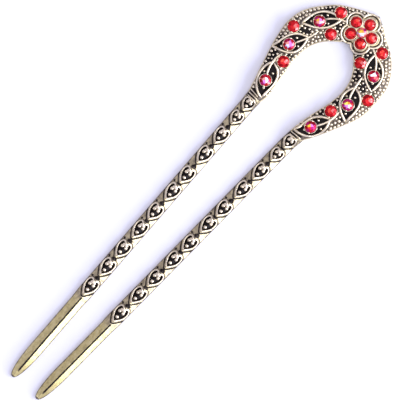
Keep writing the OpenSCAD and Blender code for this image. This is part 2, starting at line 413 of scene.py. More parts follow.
def add_node(
    tree: bpy.types.NodeTree,
    kind: str,
    inputs: dict[Any, Any] | None = None,
    stops: Sequence[tuple[float, Colour]] = (),
    **settings: Any,
) -> bpy.types.Node:
    """Add a node to a tree with its settings and links.

    Args:
        tree: The tree that gets the node.
        kind: The node's type.
        inputs: Value or source socket for each input, by name or number.
        stops: Place and colour of each stop of a colour ramp, from left to right.
        **settings: Properties of the node.

    Returns:
        The new node.
    """
    node = tree.nodes.new(kind)
    for name, value in settings.items():
        setattr(node, name, value)
    for key, value in (inputs or {}).items():
        if isinstance(value, bpy.types.NodeSocket):
            tree.links.new(value, node.inputs[key])
        else:
            node.inputs[key].default_value = value
    if stops:
        elements = node.color_ramp.elements
        while len(elements) < len(stops):
            elements.new(0.5)
        for element, (place, colour) in zip(elements, stops):
            element.position = place
            element.color = colour
    return node


def grey(value: float) -> Colour:
    """A grey of one value."""
    return (value, value, value, 1.0)


def empty_material(name: str) -> tuple[bpy.types.Material, bpy.types.NodeTree]:
    """Start a material with nothing in its tree.

    Args:
        name: The material's name.

    Returns:
        The material and its node tree.
    """
    material = bpy.data.materials.new(name)
    material.use_nodes = True
    material.node_tree.nodes.clear()
    return material, material.node_tree


@dataclass(frozen=True)
class AntiqueBrass:
    """Brass plate on a zinc alloy casting, oxidised black and rubbed bright on what stands up.

    The eye gets pale gold on the rims, olive gold on broad faces and soft black in every hollow.
    """

    name: str = "antiqued_brass_plate"
    rubbed: str = "#F2E3C3"
    plate: str = "#D9C895"
    stained: str = "#64584A"
    oxide: str = "#160D09"
    # The plain blades kept a yellower plate than the legs and the arch
    blade_tint: str = "#FFFFE0"
    blade_end_x: float = PLAIN_LEN - LEG_LEN + float(DRAWING_ZERO[0])
    mottle_mm: float = 1.1
    mottle_share: float = 0.12
    # Real casting grit is about 0.05 mm; it is drawn coarser so that it shows
    grit_mm: float = 0.16
    grit_depth_mm: float = 0.012
    # Thin clear lacquer over the plate, which whitens the lights on it
    lacquer: float = 1.0
    lacquer_in_hollows: float = 0.1
    lacquer_roughness: float = 0.25

    def build(self) -> bpy.types.Material:
        """Make the material, which reads how black the metal is from the piece's own attribute.

        Returns:
            The material.
        """
        material, tree = empty_material(self.name)
        place = add_node(tree, "ShaderNodeTexCoord").outputs["Object"]
        patina_and_shade = add_node(tree, "ShaderNodeAttribute", attribute_name=PATINA_AND_SHADE, attribute_type="GEOMETRY")
        mottle = add_node(
            tree,
            "ShaderNodeTexNoise",
            {"Vector": place, "Scale": 1 / (self.mottle_mm * MM), "Detail": 3.0, "Roughness": 0.6},
        )
        drift = add_node(
            tree,
            "ShaderNodeMapRange",
            {
                "Value": mottle.outputs["Fac"],
                "From Min": 0.3,
                "From Max": 0.7,
                "To Min": -self.mottle_share,
                "To Max": self.mottle_share,
            },
        )
        both = {0: patina_and_shade.outputs["Fac"], 1: drift.outputs["Result"]}
        black = add_node(tree, "ShaderNodeMath", both, operation="ADD", use_clamp=True).outputs["Value"]
        shades = ((0.0, self.rubbed), (0.22, self.plate), (0.5, self.stained), (0.8, self.oxide))
        stops = [(at, hex_linear(shade)) for at, shade in shades]
        colour = add_node(tree, "ShaderNodeValToRGB", {"Fac": black}, stops)
        along = add_node(tree, "ShaderNodeSeparateXYZ", {"Vector": place})
        blade = add_node(
            tree,
            "ShaderNodeMapRange",
            {
                "Value": along.outputs["X"],
                "From Min": (self.blade_end_x + 1) * MM,
                "From Max": (self.blade_end_x - 1) * MM,
            },
        )
        tinted = add_node(
            tree,
            "ShaderNodeMix",
            {0: blade.outputs["Result"], 6: colour.outputs["Color"], 7: hex_linear(self.blade_tint)},
            data_type="RGBA",
            blend_type="MULTIPLY",
        )
        grit = add_node(
            tree, "ShaderNodeTexNoise", {"Vector": place, "Scale": 1 / (self.grit_mm * MM), "Detail": 2.0}
        )
        bump = add_node(
            tree,
            "ShaderNodeBump",
            {"Height": grit.outputs["Fac"], "Strength": 0.5, "Distance": self.grit_depth_mm * MM},
        )
        surface = {
            "Base Color": tinted.outputs[2],
            "Coat Roughness": self.lacquer_roughness,
            "Normal": bump.outputs["Normal"],
        }
        # Each of these falls or grows with the black
        by_black = {
            "Metallic": ((0.35, 1.0), (0.8, 0.1)),
            "Specular IOR Level": ((0.4, 0.5), (0.8, 0.12)),
            "Roughness": ((0.0, 0.22), (0.3, 0.36), (0.9, 0.62)),
            "Coat Weight": ((0.35, self.lacquer), (0.6, self.lacquer_in_hollows)),
        }
        for socket, values in by_black.items():
            stops = [(at, grey(value)) for at, value in values]
            surface[socket] = add_node(tree, "ShaderNodeValToRGB", {"Fac": black}, stops).outputs["Color"]
        shader = add_node(tree, "ShaderNodeBsdfPrincipled", surface)
        add_node(tree, "ShaderNodeOutputMaterial", {"Surface": shader.outputs["BSDF"]})
        return material


@dataclass(frozen=True)
class FoiledGlass:
    """Pressed and cut lead glass with a foil back.

    The eye gets clear red or rainbow colours; each facet's colour holds painted reflections and glints of the
    foil back, and a faint share of it is emitted as painted light.
    """

    name: str = "foil_backed_cut_glass"
    roughness: float = 0.12
    foil: float = 0.45
    ior: float = 1.56
    gloss: float = 0.1
    coat: float = 0.08
    coat_roughness: float = 0.03
    # Painted light: the facets' colours are emitted at this strength
    painted_glow: float = 0.12

    def build(self) -> bpy.types.Material:
        """Make the material, which takes each facet's colour from the stone's own attribute.

        Returns:
            The material.
        """
        material, tree = empty_material(self.name)
        facet = add_node(tree, "ShaderNodeAttribute", attribute_name=FACET_COLOUR_AND_GLINT, attribute_type="GEOMETRY")
        shader = add_node(
            tree,
            "ShaderNodeBsdfPrincipled",
            {
                "Base Color": facet.outputs["Color"],
                "Metallic": self.foil,
                "Roughness": self.roughness,
                "IOR": self.ior,
                "Specular IOR Level": self.gloss,
                "Coat Weight": self.coat,
                "Coat Roughness": self.coat_roughness,
                "Coat IOR": self.ior,
                "Emission Color": facet.outputs["Color"],
                "Emission Strength": self.painted_glow,
            },
        )
        add_node(tree, "ShaderNodeOutputMaterial", {"Surface": shader.outputs["BSDF"]})
        return material


@dataclass(frozen=True)
class MattSweep:
    """Matt white card of a photographer's sweep: no gloss, no pattern."""

    name: str = "matt_white_card"
    tone: str = "#F1F1F3"

    def build(self) -> bpy.types.Material:
        """Make the material.

        Returns:
            The material.
        """
        material, tree = empty_material(self.name)
        shader = add_node(
            tree,
            "ShaderNodeBsdfPrincipled",
            {"Base Color": hex_linear(self.tone), "Roughness": 0.9, "Specular IOR Level": 0.1},
        )
        add_node(tree, "ShaderNodeOutputMaterial", {"Surface": shader.outputs["BSDF"]})
        return material


# Meshes


def linked(name: str, data: bpy.types.ID) -> Piece:
    """Make an object and link it to the scene.

    Args:
        name: Its name.
        data: Its mesh, lamp or camera.

    Returns:
        The object.
    """
    thing = bpy.data.objects.new(name, data)
    bpy.context.scene.collection.objects.link(thing)
    return thing


def mesh_object(
    name: str, points: Array, faces: Iterable[Sequence[int]] = (), edges: Iterable[Sequence[int]] = ()
) -> Piece:
    """Make an object at the origin from points in the drawing's frame.

    Args:
        name: Name of the piece.
        points: Corners in drawing millimetres.
        faces: Corner numbers of each face.
        edges: Corner numbers of each loose edge.

    Returns:
        The new object, linked to the scene.
    """
    mesh = bpy.data.meshes.new(name)
    mesh.from_pydata(to_model(points).tolist(), list(edges), list(faces))
    mesh.update()
    return linked(name, mesh)


def store(mesh: bpy.types.Mesh, name: str, values: Array, kind: str = "FLOAT") -> None:
    """Keep one value for each corner of a mesh under a name.

    Args:
        mesh: The mesh.
        name: Name of the attribute.
        values: One number or row for each corner.
        kind: Type of the attribute.
    """
    attribute = mesh.attributes.new(name, kind, "POINT")
    key = "value" if kind == "FLOAT" else "vector"
    attribute.data.foreach_set(key, np.asarray(values, np.float32).ravel())


class Wear(Enum):
    """How a piece is rubbed.

    Each holds the upward share of the normal that is bright, the share that stays black, and the
    patina of the blackest place.
    """

    BAND = (0.4, -0.1, 0.85)
    COLLAR = (0.4, -0.1, 0.8)
    PRONG = (0.2, -0.3, 0.8)
    BEAD = (0.3, -0.2, 0.9)


def rub(piece: Piece, wear: Wear) -> None:
    """Give a piece its patina: bright where it faces up, black where it turns down to the ground.

    Args:
        piece: The mesh object.
        wear: How it is rubbed.
    """
    bright_from, black_from, most = wear.value
    mesh = piece.data
    normals = np.zeros(len(mesh.vertices) * 3, np.float32)
    mesh.vertex_normals.foreach_get("vector", normals)
    store(mesh, PATINA_AND_SHADE, most * smoothstep(bright_from, black_from, normals.reshape(-1, 3)[:, 2]))


def dress(piece: Piece, material: bpy.types.Material) -> None:
    """Give a finished piece its material, body and slot, and report it.

    Args:
        piece: The mesh object.
        material: Its finish.
    """
    piece.data.materials.clear()
    piece.data.materials.append(material)
    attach(piece, BODY)
    log.info("%s: %d faces", piece.name, len(piece.data.polygons))


class GridTree:
    """A Geometry Nodes tree under construction, with named inputs for its sizes."""

    def __init__(self, name: str, sizes: dict[str, float]) -> None:
        """Start a tree.

        Args:
            name: Name of the tree.
            sizes: Named number inputs with their values.
        """
        self.tree = bpy.data.node_groups.new(name, "GeometryNodeTree")
        self.sizes = sizes
        self.tree.interface.new_socket("Geometry", in_out="INPUT", socket_type="NodeSocketGeometry")
        for label, size in sizes.items():
            kind = "NodeSocketInt" if isinstance(size, int) else "NodeSocketFloat"
            self.tree.interface.new_socket(label, in_out="INPUT", socket_type=kind)
        self.tree.interface.new_socket("Geometry", in_out="OUTPUT", socket_type="NodeSocketGeometry")
        self.given = add_node(self.tree, "NodeGroupInput").outputs

    def add(self, kind: str, inputs: dict[Any, Any] | None = None, **settings: Any) -> bpy.types.Node:
        """Add a node to this tree."""
        return add_node(self.tree, kind, inputs, **settings)

    def oval(self, width: Any, height: Any, sides: Any) -> bpy.types.NodeSocket:
        """Add a section for a swept band.

        Args:
            width: Value or socket of its full width.
            height: Value or socket of its full height.
            sides: Value or socket of its number of sides.

        Returns:
            The section's curve.
        """
        circle = self.add("GeometryNodeCurvePrimitiveCircle", {"Resolution": sides, "Radius": 0.5})
        size = self.add("ShaderNodeCombineXYZ", {"X": width, "Y": height, "Z": 1.0})
        section = self.add("GeometryNodeTransform", {"Geometry": circle.outputs[0], "Scale": size.outputs[0]})
        return section.outputs[0]

    def stand(self, shape: bpy.types.NodeSocket, size: bpy.types.NodeSocket) -> bpy.types.NodeSocket:
        """Put a shape on each point that came in, turned to the point's upright.

        Args:
            shape: The shape.
            size: What it is scaled by.

        Returns:
            The instances.
        """
        upright = self.add("GeometryNodeInputNamedAttribute", {"Name": UPRIGHT}, data_type="FLOAT_VECTOR")
        axis = upright.outputs["Attribute"]
        turn = self.add("FunctionNodeAlignRotationToVector", {"Vector": axis}, axis="Z").outputs[0]
        points = self.given["Geometry"]
        inputs = {"Points": points, "Instance": shape, "Rotation": turn, "Scale": size}
        return self.add("GeometryNodeInstanceOnPoints", inputs).outputs[0]

    def close(self, geometry: bpy.types.NodeSocket, material: bpy.types.Material) -> None:
        """End the tree: real geometry, smooth shading, the material and the output.

        Args:
            geometry: The finished geometry.
            material: The finish of every face.
        """
        real = self.add("GeometryNodeRealizeInstances", {"Geometry": geometry})
        smooth = self.add("GeometryNodeSetShadeSmooth", {"Geometry": real.outputs[0]})
        painted = self.add("GeometryNodeSetMaterial", {"Geometry": smooth.outputs[0], "Material": material})
        self.add("NodeGroupOutput", {0: painted.outputs[0]})

    def apply(self, source: Piece, name: str) -> Piece:
        """Run the tree on an object and keep the result as a plain mesh.

        Args:
            source: The object that carries the points or paths; it is removed.
            name: Name of the finished piece.

        Returns:
            The finished piece.
        """
        modifier = source.modifiers.new("ornament", "NODES")
        modifier.node_group = self.tree
        for item in self.tree.interface.items_tree:
            if item.in_out == "INPUT" and item.name in self.sizes:
                modifier[item.identifier] = self.sizes[item.name]
        depsgraph = bpy.context.evaluated_depsgraph_get()
        depsgraph.update()
        mesh = bpy.data.meshes.new_from_object(source.evaluated_get(depsgraph))
        mesh.name = name
        source.modifiers.clear()
        bpy.data.objects.remove(source)
        return linked(name, mesh)


def swept_tree(material: bpy.types.Material, width: float, height: float, sides: int = 10) -> GridTree:
    """A tree that turns paths into rounded bands.

    Args:
        material: Finish of the band.
        width: Full width of the band in millimetres.
        height: Full height of its oval section in millimetres.
        sides: Sides of the section.

    Returns:
        The tree.
    """
    tree = GridTree("swept_band", {"Width": width * MM, "Height": height * MM, "Sides": sides})
    path = tree.add("GeometryNodeMeshToCurve", {"Mesh": tree.given["Geometry"]})
    upright = tree.add("GeometryNodeSetCurveNormal", {"Curve": path.outputs[0]}, mode="Z_UP")
    taper = tree.add("GeometryNodeInputNamedAttribute", {"Name": TAPER}, data_type="FLOAT")
    given = tree.given
    band = tree.add(
        "GeometryNodeCurveToMesh",
        {
            "Curve": upright.outputs[0],
            "Profile Curve": tree.oval(given["Width"], given["Height"], given["Sides"]),
            "Scale": taper.outputs["Attribute"],
            "Fill Caps": True,
        },
    )
    tree.close(band.outputs[0], material)
    return tree


def bead_tree(material: bpy.types.Material, height_share: float, segments: int, rings: int) -> GridTree:
    """A tree that puts a flattened bead on each point, turned to the ground's upright.

    Args:
        material: Finish of the beads.
        height_share: Height of a bead against its width.
        segments: Sides of a bead.
        rings: Rings of a bead.

    Returns:
        The tree.
    """
    tree = GridTree("cast_beads", {"Height share": height_share, "Segments": segments, "Rings": rings})
    given = tree.given
    counts = {"Segments": given["Segments"], "Rings": given["Rings"], "Radius": 1.0}
    bead = tree.add("GeometryNodeMeshUVSphere", counts).outputs["Mesh"]
    radius = tree.add("GeometryNodeInputNamedAttribute", {"Name": BEAD_RADIUS}, data_type="FLOAT")
    wide = radius.outputs["Attribute"]
    high = tree.add("ShaderNodeMath", {0: wide, 1: given["Height share"]}, operation="MULTIPLY").outputs[0]
    size = tree.add("ShaderNodeCombineXYZ", {"X": wide, "Y": wide, "Z": high}).outputs[0]
    tree.close(tree.stand(bead, size), material)
    return tree


def collar_tree(material: bpy.types.Material, wall: float, height: float) -> GridTree:
    """A tree that puts a round collar on each point, as large as the stone in it.

    Args:
        material: Finish of the collars.
        wall: Wall of the collar against the stone's radius.
        height: Height of the collar against the stone's radius.

    Returns:
        The tree.
    """
    tree = GridTree("stone_collars", {"Wall": wall, "Height": height, "Sides": 32})
    given = tree.given
    ring = tree.add("GeometryNodeCurvePrimitiveCircle", {"Resolution": given["Sides"], "Radius": 1.0})
    section = tree.oval(given["Wall"], given["Height"], 8)
    collar = tree.add("GeometryNodeCurveToMesh", {"Curve": ring.outputs[0], "Profile Curve": section})
    radius = tree.add("GeometryNodeInputNamedAttribute", {"Name": BEAD_RADIUS}, data_type="FLOAT")
    tree.close(tree.stand(collar.outputs[0], radius.outputs["Attribute"]), material)
    return tree


# Width of a band's narrowed ends against its full width
END_SHARE = 0.45


def path_object(name: str, paths: Sequence[Array], taper_len: float = 0.0) -> Piece:
    """Join paths as loose edges of one object.

    Args:
        name: Name of the object.
        paths: Points of each path in drawing millimetres, three columns.
        taper_len: Length over which both ends of a path narrow.

    Returns:
        The object, with the width share of each point kept on it.
    """
    edges, tapers, start = [], [], 0
    for path in paths:
        steps = np.linalg.norm(np.diff(path, axis=0), axis=1)
        run = np.concatenate([[0.0], np.cumsum(steps)])
        near = np.minimum(run, run[-1] - run)
        open_share = smoothstep(0, taper_len, near) if taper_len else np.ones(len(path))
        tapers.append(END_SHARE + (1 - END_SHARE) * open_share)
        edges += [(i, i + 1) for i in range(start, start + len(path) - 1)]
        start += len(path)
    piece = mesh_object(name, np.vstack(paths), edges=edges)
    store(piece.data, TAPER, np.concatenate(tapers))
    return piece


def point_object(name: str, places: Array, radii: Array, uprights: Array) -> Piece:
    """Make an object of loose points that carry a radius and an upright.

    Args:
        name: Name of the object.
        places: Points in drawing millimetres, three columns.
        radii: Radius of each in millimetres.
        uprights: Direction of each.

    Returns:
        The object.
    """
    piece = mesh_object(name, places)
    store(piece.data, BEAD_RADIUS, np.asarray(radii) * MM)
    store(piece.data, UPRIGHT, uprights, "FLOAT_VECTOR")
    return piece


def cast(tree: GridTree, source: Piece, name: str, wear: Wear, brass: bpy.types.Material) -> None:
    """Make a piece of the casting with a tree, rub it and dress it.

    Args:
        tree: The tree.
        source: The paths or points that it runs on.
        name: Name of the finished piece.
        wear: How it is rubbed.
        brass: Its finish.
    """
    piece = tree.apply(source, name)
    rub(piece, wear)
    dress(piece, brass)


# The casting


@dataclass
class Strip:
    """Sections along the fork: both edges, the heights of edge and crown, and the share of dome."""

    outer: Array
    inner: Array
    edge_h: Array
    crown_h: Array
    domed: Array

    def cut(self, keep: slice) -> "Strip":
        """The sections that keep picks."""
        return Strip(*(getattr(self, field.name)[keep] for field in fields(self)))

    def turned(self) -> "Strip":
        """The same sections from the other end."""
        return self.cut(slice(None, None, -1))

    @staticmethod
    def joined(strips: Sequence["Strip"]) -> "Strip":
        """Strips in a row as one."""
        return Strip(*(np.concatenate([getattr(s, field.name) for s in strips]) for field in fields(Strip)))


class Terrain:
    """The upper surface that ornament is laid on."""

    # Rays start this high, and a place past the edge takes the surface's point nearest to mid_height
    sky: float = 10.0
    mid_height: float = 1.5

    def __init__(self, tops: Iterable[Array]) -> None:
        """Build a search tree.

        Args:
            tops: Points of each upper surface by section and column.
        """
        points, faces = [], []
        for top in tops:
            faces += grid_faces(*top.shape[:2], start=len(points))
            points += top.reshape(-1, 3).tolist()
        self.tree = BVHTree.FromPolygons(points, faces)

    def lay(self, places: Array, lift: float = 0.0) -> tuple[Array, Array]:
        """Put places on the surface.

        Args:
            places: Points, two columns.
            lift: Height over the surface.

        Returns:
            The points with their heights, and the surface's normals there.
        """
        spots, normals = [], []
        for x, y in places:
            spot, normal, _, _ = self.tree.ray_cast(Vector((x, y, self.sky)), Vector((0, 0, -1)))
            if spot is None:
                spot, normal, _, _ = self.tree.find_nearest(Vector((x, y, self.mid_height)))
            spots.append((x, y, spot.z + lift))
            normals.append(normal if normal.z > 0 else -normal)
        return np.array(spots), np.array(normals)


@dataclass
class ForkBody:
    """The casting's body: both legs and the arch, with everything that is sunk into them."""

    leg_step: float = 0.095
    # The sections lie closer and closer over the last stretch of a tip
    tip_first: float = 0.015
    tip_dense: float = 1.2
    tip_sections: int = 22
    leg_columns: int = 46
    arch_steps: int = 31
    arch_columns: int = 102
    edge_r: float = 0.16
    flare_len: float = 3.0
    # Last stretch of a leg, over which it takes the section of the arch
    blend_len: float = 3.0
    lead_in: float = 2.5
    tip_len: float = 9.0
    tip_wide_power: float = 0.4
    tip_high_power: float = 0.6
    tip_high_share: float = 0.42
    # The very end is this share as high, over the rounding of the tip
    tip_end_share: float = 0.5
    tip_round: float = 0.35
    # The arch's curve looks this far past its point for its last direction
    past_point: float = 0.6
    # Columns on the rounded edges, in shares of the width, and where the even ones start
    edge_columns: tuple[float, ...] = (0.0, 0.004, 0.012, 0.024)
    even_from: float = 0.04
    ridge_round: float = 0.05
    # A larger first power flattens the dome's middle, and the second one steepens its sides
    dome_powers: Point = (2.6, 0.9)
    foot_black: float = 0.3
    sharp_angle: float = 50.0

    def leg_strip(self, side: Side) -> Strip:
        """Sections of a leg from its tip to the neck.

        Args:
            side: Which leg.

        Returns:
            The strip.
        """
        dense = np.geomspace(self.tip_first, self.tip_dense, self.tip_sections)[:-1]
        away = np.concatenate([dense, np.arange(self.tip_dense, LEG_LEN, self.leg_step)])
        x = away - LEG_LEN
        full = 1 - (1 - np.clip(away / self.tip_len, 0, 1)) ** 2
        high = self.tip_high_share + (1 - self.tip_high_share) * full**self.tip_high_power
        high = high * (self.tip_end_share + (1 - self.tip_end_share) * smoothstep(0, self.tip_round, away))
        flare = smoothstep(0, self.flare_len, away - PLAIN_LEN + self.flare_len / 3)
        width = BLADE_W * full**self.tip_wide_power + (LEG_W - BLADE_W) * flare
        neck = ARCH_HALVES[side][0]
        blend = smoothstep(-self.blend_len, 0, x)
        edges = []
        for out, neck_y in ((side.value, neck.outer_y), (-side.value, neck.inner_y)):
            y = leg_y(x, side) + out * width / 2
            edges.append(np.column_stack([x, y + blend * (neck_y - leg_y(0, side) - out * LEG_W / 2)]))
        edge_h = LEG_EDGE_H * high + blend * (ARCH_EDGE_H - LEG_EDGE_H)
        crown_h = RIDGE_H * high + blend * (CROWN_H - RIDGE_H)
        return Strip(*edges, edge_h, crown_h, blend)

    def arch_strip(self, side: Side) -> Strip:
        """Sections of half the arch from the neck to its point.

        Args:
            side: Which half.

        Returns:
            The strip.
        """
        table = ARCH_HALVES[side]
        y, half = leg_y(-self.lead_in, side), side.value * LEG_W / 2
        before = Section(-self.lead_in, y + half, -self.lead_in, y - half)
        last, lead = np.array(POINT), np.array(table[-1])
        rows = np.vstack([before, *table, last, last + self.past_point * (last - lead)])
        dense = through(rows, self.arch_steps)
        ones = np.ones(len(dense))
        return Strip(dense[:, :2], dense[:, 2:], ones * ARCH_EDGE_H, ones * CROWN_H, ones)

    def strips(self) -> dict[str, Strip]:
        """The three pieces of the body, all running from the upper tip to the lower tip.

        Returns:
            The strip of each piece by its name.
        """
        halves = [self.arch_strip(side) for side in Side]
        # Each leg ends in the arch's first section
        legs = [Strip.joined([self.leg_strip(side), half.cut(slice(1))]) for side, half in zip(Side, halves)]
        arch = Strip.joined([halves[0], halves[1].turned().cut(slice(1, None))])
        return {"upper_leg": legs[0], "arch": arch, "lower_leg": legs[1].turned()}

    def top(self, strip: Strip, columns: int) -> Array:
        """Upper surface of a strip, without ornament.

        Args:
            strip: The sections.
            columns: Number of columns between the rounded edges.

        Returns:
            Points by section and column, three numbers each.
        """
        near = np.array(self.edge_columns)
        even = np.linspace(self.even_from, 1 - self.even_from, columns)
        across = np.concatenate([near, even, 1 - near[::-1]])
        ridge = np.abs(2 * across - 1)
        roof = 1 + self.ridge_round - np.sqrt(ridge**2 + self.ridge_round**2)
        roof = np.clip(roof / roof.max(), 0, 1)
        flat, steep = self.dome_powers
        dome = (1 - ridge**flat) ** steep
        share = roof + (dome - roof) * strip.domed[:, None]
        span = strip.inner - strip.outer
        xy = strip.outer[:, None] + span[:, None] * across[None, :, None]
        width = np.linalg.norm(span, axis=1)
        z = strip.edge_h[:, None] + (strip.crown_h - strip.edge_h)[:, None] * share
        # The rounded edge falls off over its radius as a quarter circle
        r = np.minimum(self.edge_r, width / 4)[:, None]
        from_edge = np.minimum(across, 1 - across) * width[:, None]
        fall = r - np.sqrt(np.maximum(r**2 - np.maximum(r - from_edge, 0) ** 2, 0))
        return np.dstack([xy, z - fall])

    @staticmethod
    def slab(name: str, top: Array) -> Piece:
        """Close an upper surface to a solid that stands on the floor.

        Args:
            name: Name of the piece.
            top: Points by section and column.

        Returns:
            The object; its first corners are the upper surface's.
        """
        rows, columns = top.shape[:2]
        floor = top[:, [0, -1], :] * np.array([1, 1, 0])
        points = np.vstack([top.reshape(-1, 3), floor[:, 0], floor[:, 1]])
        outer_foot, inner_foot = rows * columns, rows * columns + rows
        faces = grid_faces(rows, columns)
        for k in range(rows - 1):
            left, right = k * columns, k * columns + columns - 1
            o, n = outer_foot + k, inner_foot + k
            faces.append([o, left, left + columns, o + 1])
            faces.append([n, n + 1, right + columns, right])
            faces.append([o, o + 1, n + 1, n])
        last = (rows - 1) * columns
        faces.append([outer_foot, inner_foot, *range(columns - 1, -1, -1)])
        faces.append([inner_foot + rows - 1, outer_foot + rows - 1, *range(last, last + columns)])
        return mesh_object(name, points, faces)

    def build(self, relief: "Relief", brass: bpy.types.Material) -> tuple[Terrain, Terrain, Strip]:
        """Make the three pieces of the body and dress them.

        Args:
            relief: What is sunk into the body.
            brass: Its finish.

        Returns:
            The ground without and with what is sunk into it, and the arch's sections.
        """
        plain, carved = [], []
        strips = self.strips()
        for name, strip in strips.items():
            side = LEG_SIDES.get(name)
            top = self.top(strip, self.leg_columns if side else self.arch_columns)
            depth, black = relief.leg(top, side) if side else relief.arch(top)
            sunk = top.copy()
            sunk[..., 2] -= depth
            plain.append(top)
            carved.append(sunk)
            piece = self.slab(f"{name}_casting", sunk)
            feet = len(piece.data.vertices) - black.size
            store(piece.data, PATINA_AND_SHADE, np.concatenate([black.ravel(), np.full(feet, self.foot_black)]))
            piece.data.polygons.foreach_set("use_smooth", np.ones(len(piece.data.polygons), bool))
            piece.data.set_sharp_from_angle(angle=math.radians(self.sharp_angle))
            dress(piece, brass)
            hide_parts("fork")
        return Terrain(plain), Terrain(carved), strips["arch"]


# Stones


# The girdle reaches a little over its seat, as a set stone does, and the middle stone's most
SPREAD = {StoneKind.PETAL: 1.02, StoneKind.CENTRE: 1.1, StoneKind.LEAF: 1.04, StoneKind.ROUND: 1.03}


class StoneFrame(NamedTuple):
    """Place of a cut stone: its middle, axis and radius, and where its back and table lie on the axis."""

    name: str
    kind: StoneKind
    middle: Vector
    axis: Vector
    radius: float
    back: float
    table: float

    @property
    def spot(self) -> Array:
        """Its middle as seen from above."""
        return np.array(self.middle.to_2d())


def read_stone(name: str, node: Piece) -> StoneFrame:
    """Measure a stone's solid.

    Args:
        name: The node's name.
        node: Its object.

    Returns:
        The stone's frame in drawing millimetres.
    """
    # The table is the largest flat face that looks up, and its normal is the axis
    areas: dict[tuple[float, ...], float] = {}
    for face in node.data.polygons:
        normal = tuple(round(value, 3) for value in face.normal)
        if normal[2] > 0.3:
            areas[normal] = areas.get(normal, 0.0) + face.area
    axis = Vector(max(areas, key=lambda normal: areas[normal])).normalized()
    corners = np.array([node.matrix_world @ v.co for v in node.data.vertices]) / MM - DRAWING_ZERO
    middle = (corners.min(axis=0) + corners.max(axis=0)) / 2
    along = (corners - middle) @ np.array(axis)
    flat = corners - middle - along[:, None] * np.array(axis)
    radius = np.linalg.norm(flat, axis=1).max()
    kind = next(kind for kind in StoneKind if name.startswith(kind.value))
    return StoneFrame(name, kind, Vector(middle), axis, float(radius), float(along.min()), float(along.max()))


def stone_frames() -> list[StoneFrame]:
    """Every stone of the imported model."""
    return [read_stone(name, node) for name, node in frame["nodes"].items() if "stone" in name]


class Tint(Enum):
    """Colours of the facets as the eye sees them in soft light: the glass's own colours with painted
    reflections and glints.
    """

    WINE = "#6A060E"
    GARNET = "#A20C14"
    SIAM = "#CA121B"
    SCARLET = "#E2232A"
    CORAL = "#F2513C"
    ROSE = "#FF8580"
    CRIMSON = "#B81038"
    MAGENTA = "#C42078"
    ORCHID = "#E685DA"
    LAVENDER = "#DCD8F6"
    SALMON = "#F09488"
    ORANGE = "#F2A03C"
    GOLD = "#EFC23A"
    YELLOW = "#FAEE62"
    WHITE = "#FFFFFF"

    def base(self, share: float) -> Colour:
        """The colour in linear, times the share that the studio's light leaves to the glass."""
        red, green, blue, _ = hex_linear(self.value)
        return (red * share, green * share, blue * share, 1.0)


class Play(NamedTuple):
    """Painted light play in the table of an iris stone, by the side of the stone: its coating's colours and
    painted glints.
    """

    right: Tint
    top: Tint
    left: Tint
    bottom: Tint


IRIS_PLAY = {
    "leaf_stone_1": Play(Tint.WHITE, Tint.SALMON, Tint.ORCHID, Tint.WHITE),
    "leaf_stone_2": Play(Tint.ORCHID, Tint.SALMON, Tint.LAVENDER, Tint.ORCHID),
    "leaf_stone_3": Play(Tint.ORCHID, Tint.ORANGE, Tint.SALMON, Tint.LAVENDER),
    "leaf_stone_4": Play(Tint.ORCHID, Tint.GOLD, Tint.SCARLET, Tint.MAGENTA),
    "leaf_stone_5": Play(Tint.ORANGE, Tint.YELLOW, Tint.ORCHID, Tint.WHITE),
    "leaf_stone_6": Play(Tint.WHITE, Tint.WHITE, Tint.CRIMSON, Tint.ROSE),
    "centre_stone": Play(Tint.ORANGE, Tint.GOLD, Tint.LAVENDER, Tint.WHITE),
}


class FacetRing(Enum):
    """Rings of facets, from the middle of a stone to its back."""

    TABLE = 0
    STAR = 1
    KITE = 2
    RIM = 3
    BACK = 4


SIAM_RINGS = {
    FacetRing.TABLE: (Tint.SIAM, Tint.SCARLET, Tint.SCARLET, Tint.CORAL),
    FacetRing.STAR: (Tint.GARNET, Tint.SIAM, Tint.SCARLET),
    FacetRing.KITE: (Tint.GARNET, Tint.SIAM, Tint.SIAM, Tint.SCARLET),
    FacetRing.RIM: (Tint.GARNET, Tint.SIAM, Tint.SIAM, Tint.SCARLET, Tint.CORAL),
}
IRIS_RINGS = {
    FacetRing.STAR: (Tint.MAGENTA, Tint.CRIMSON, Tint.ORCHID, Tint.ROSE),
    FacetRing.KITE: (Tint.CRIMSON, Tint.GARNET, Tint.MAGENTA, Tint.SCARLET),
    FacetRing.RIM: (Tint.GARNET, Tint.CRIMSON, Tint.MAGENTA, Tint.SIAM),
}
PALE_RINGS = {
    FacetRing.STAR: (Tint.ORCHID, Tint.ROSE, Tint.LAVENDER),
    FacetRing.KITE: (Tint.ROSE, Tint.MAGENTA, Tint.ROSE, Tint.LAVENDER),
    FacetRing.RIM: (Tint.CRIMSON, Tint.ROSE, Tint.MAGENTA),
}
RINGS_OF_KIND = {
    StoneKind.PETAL: SIAM_RINGS,
    StoneKind.ROUND: SIAM_RINGS,
    StoneKind.LEAF: IRIS_RINGS,
    StoneKind.CENTRE: PALE_RINGS,
}


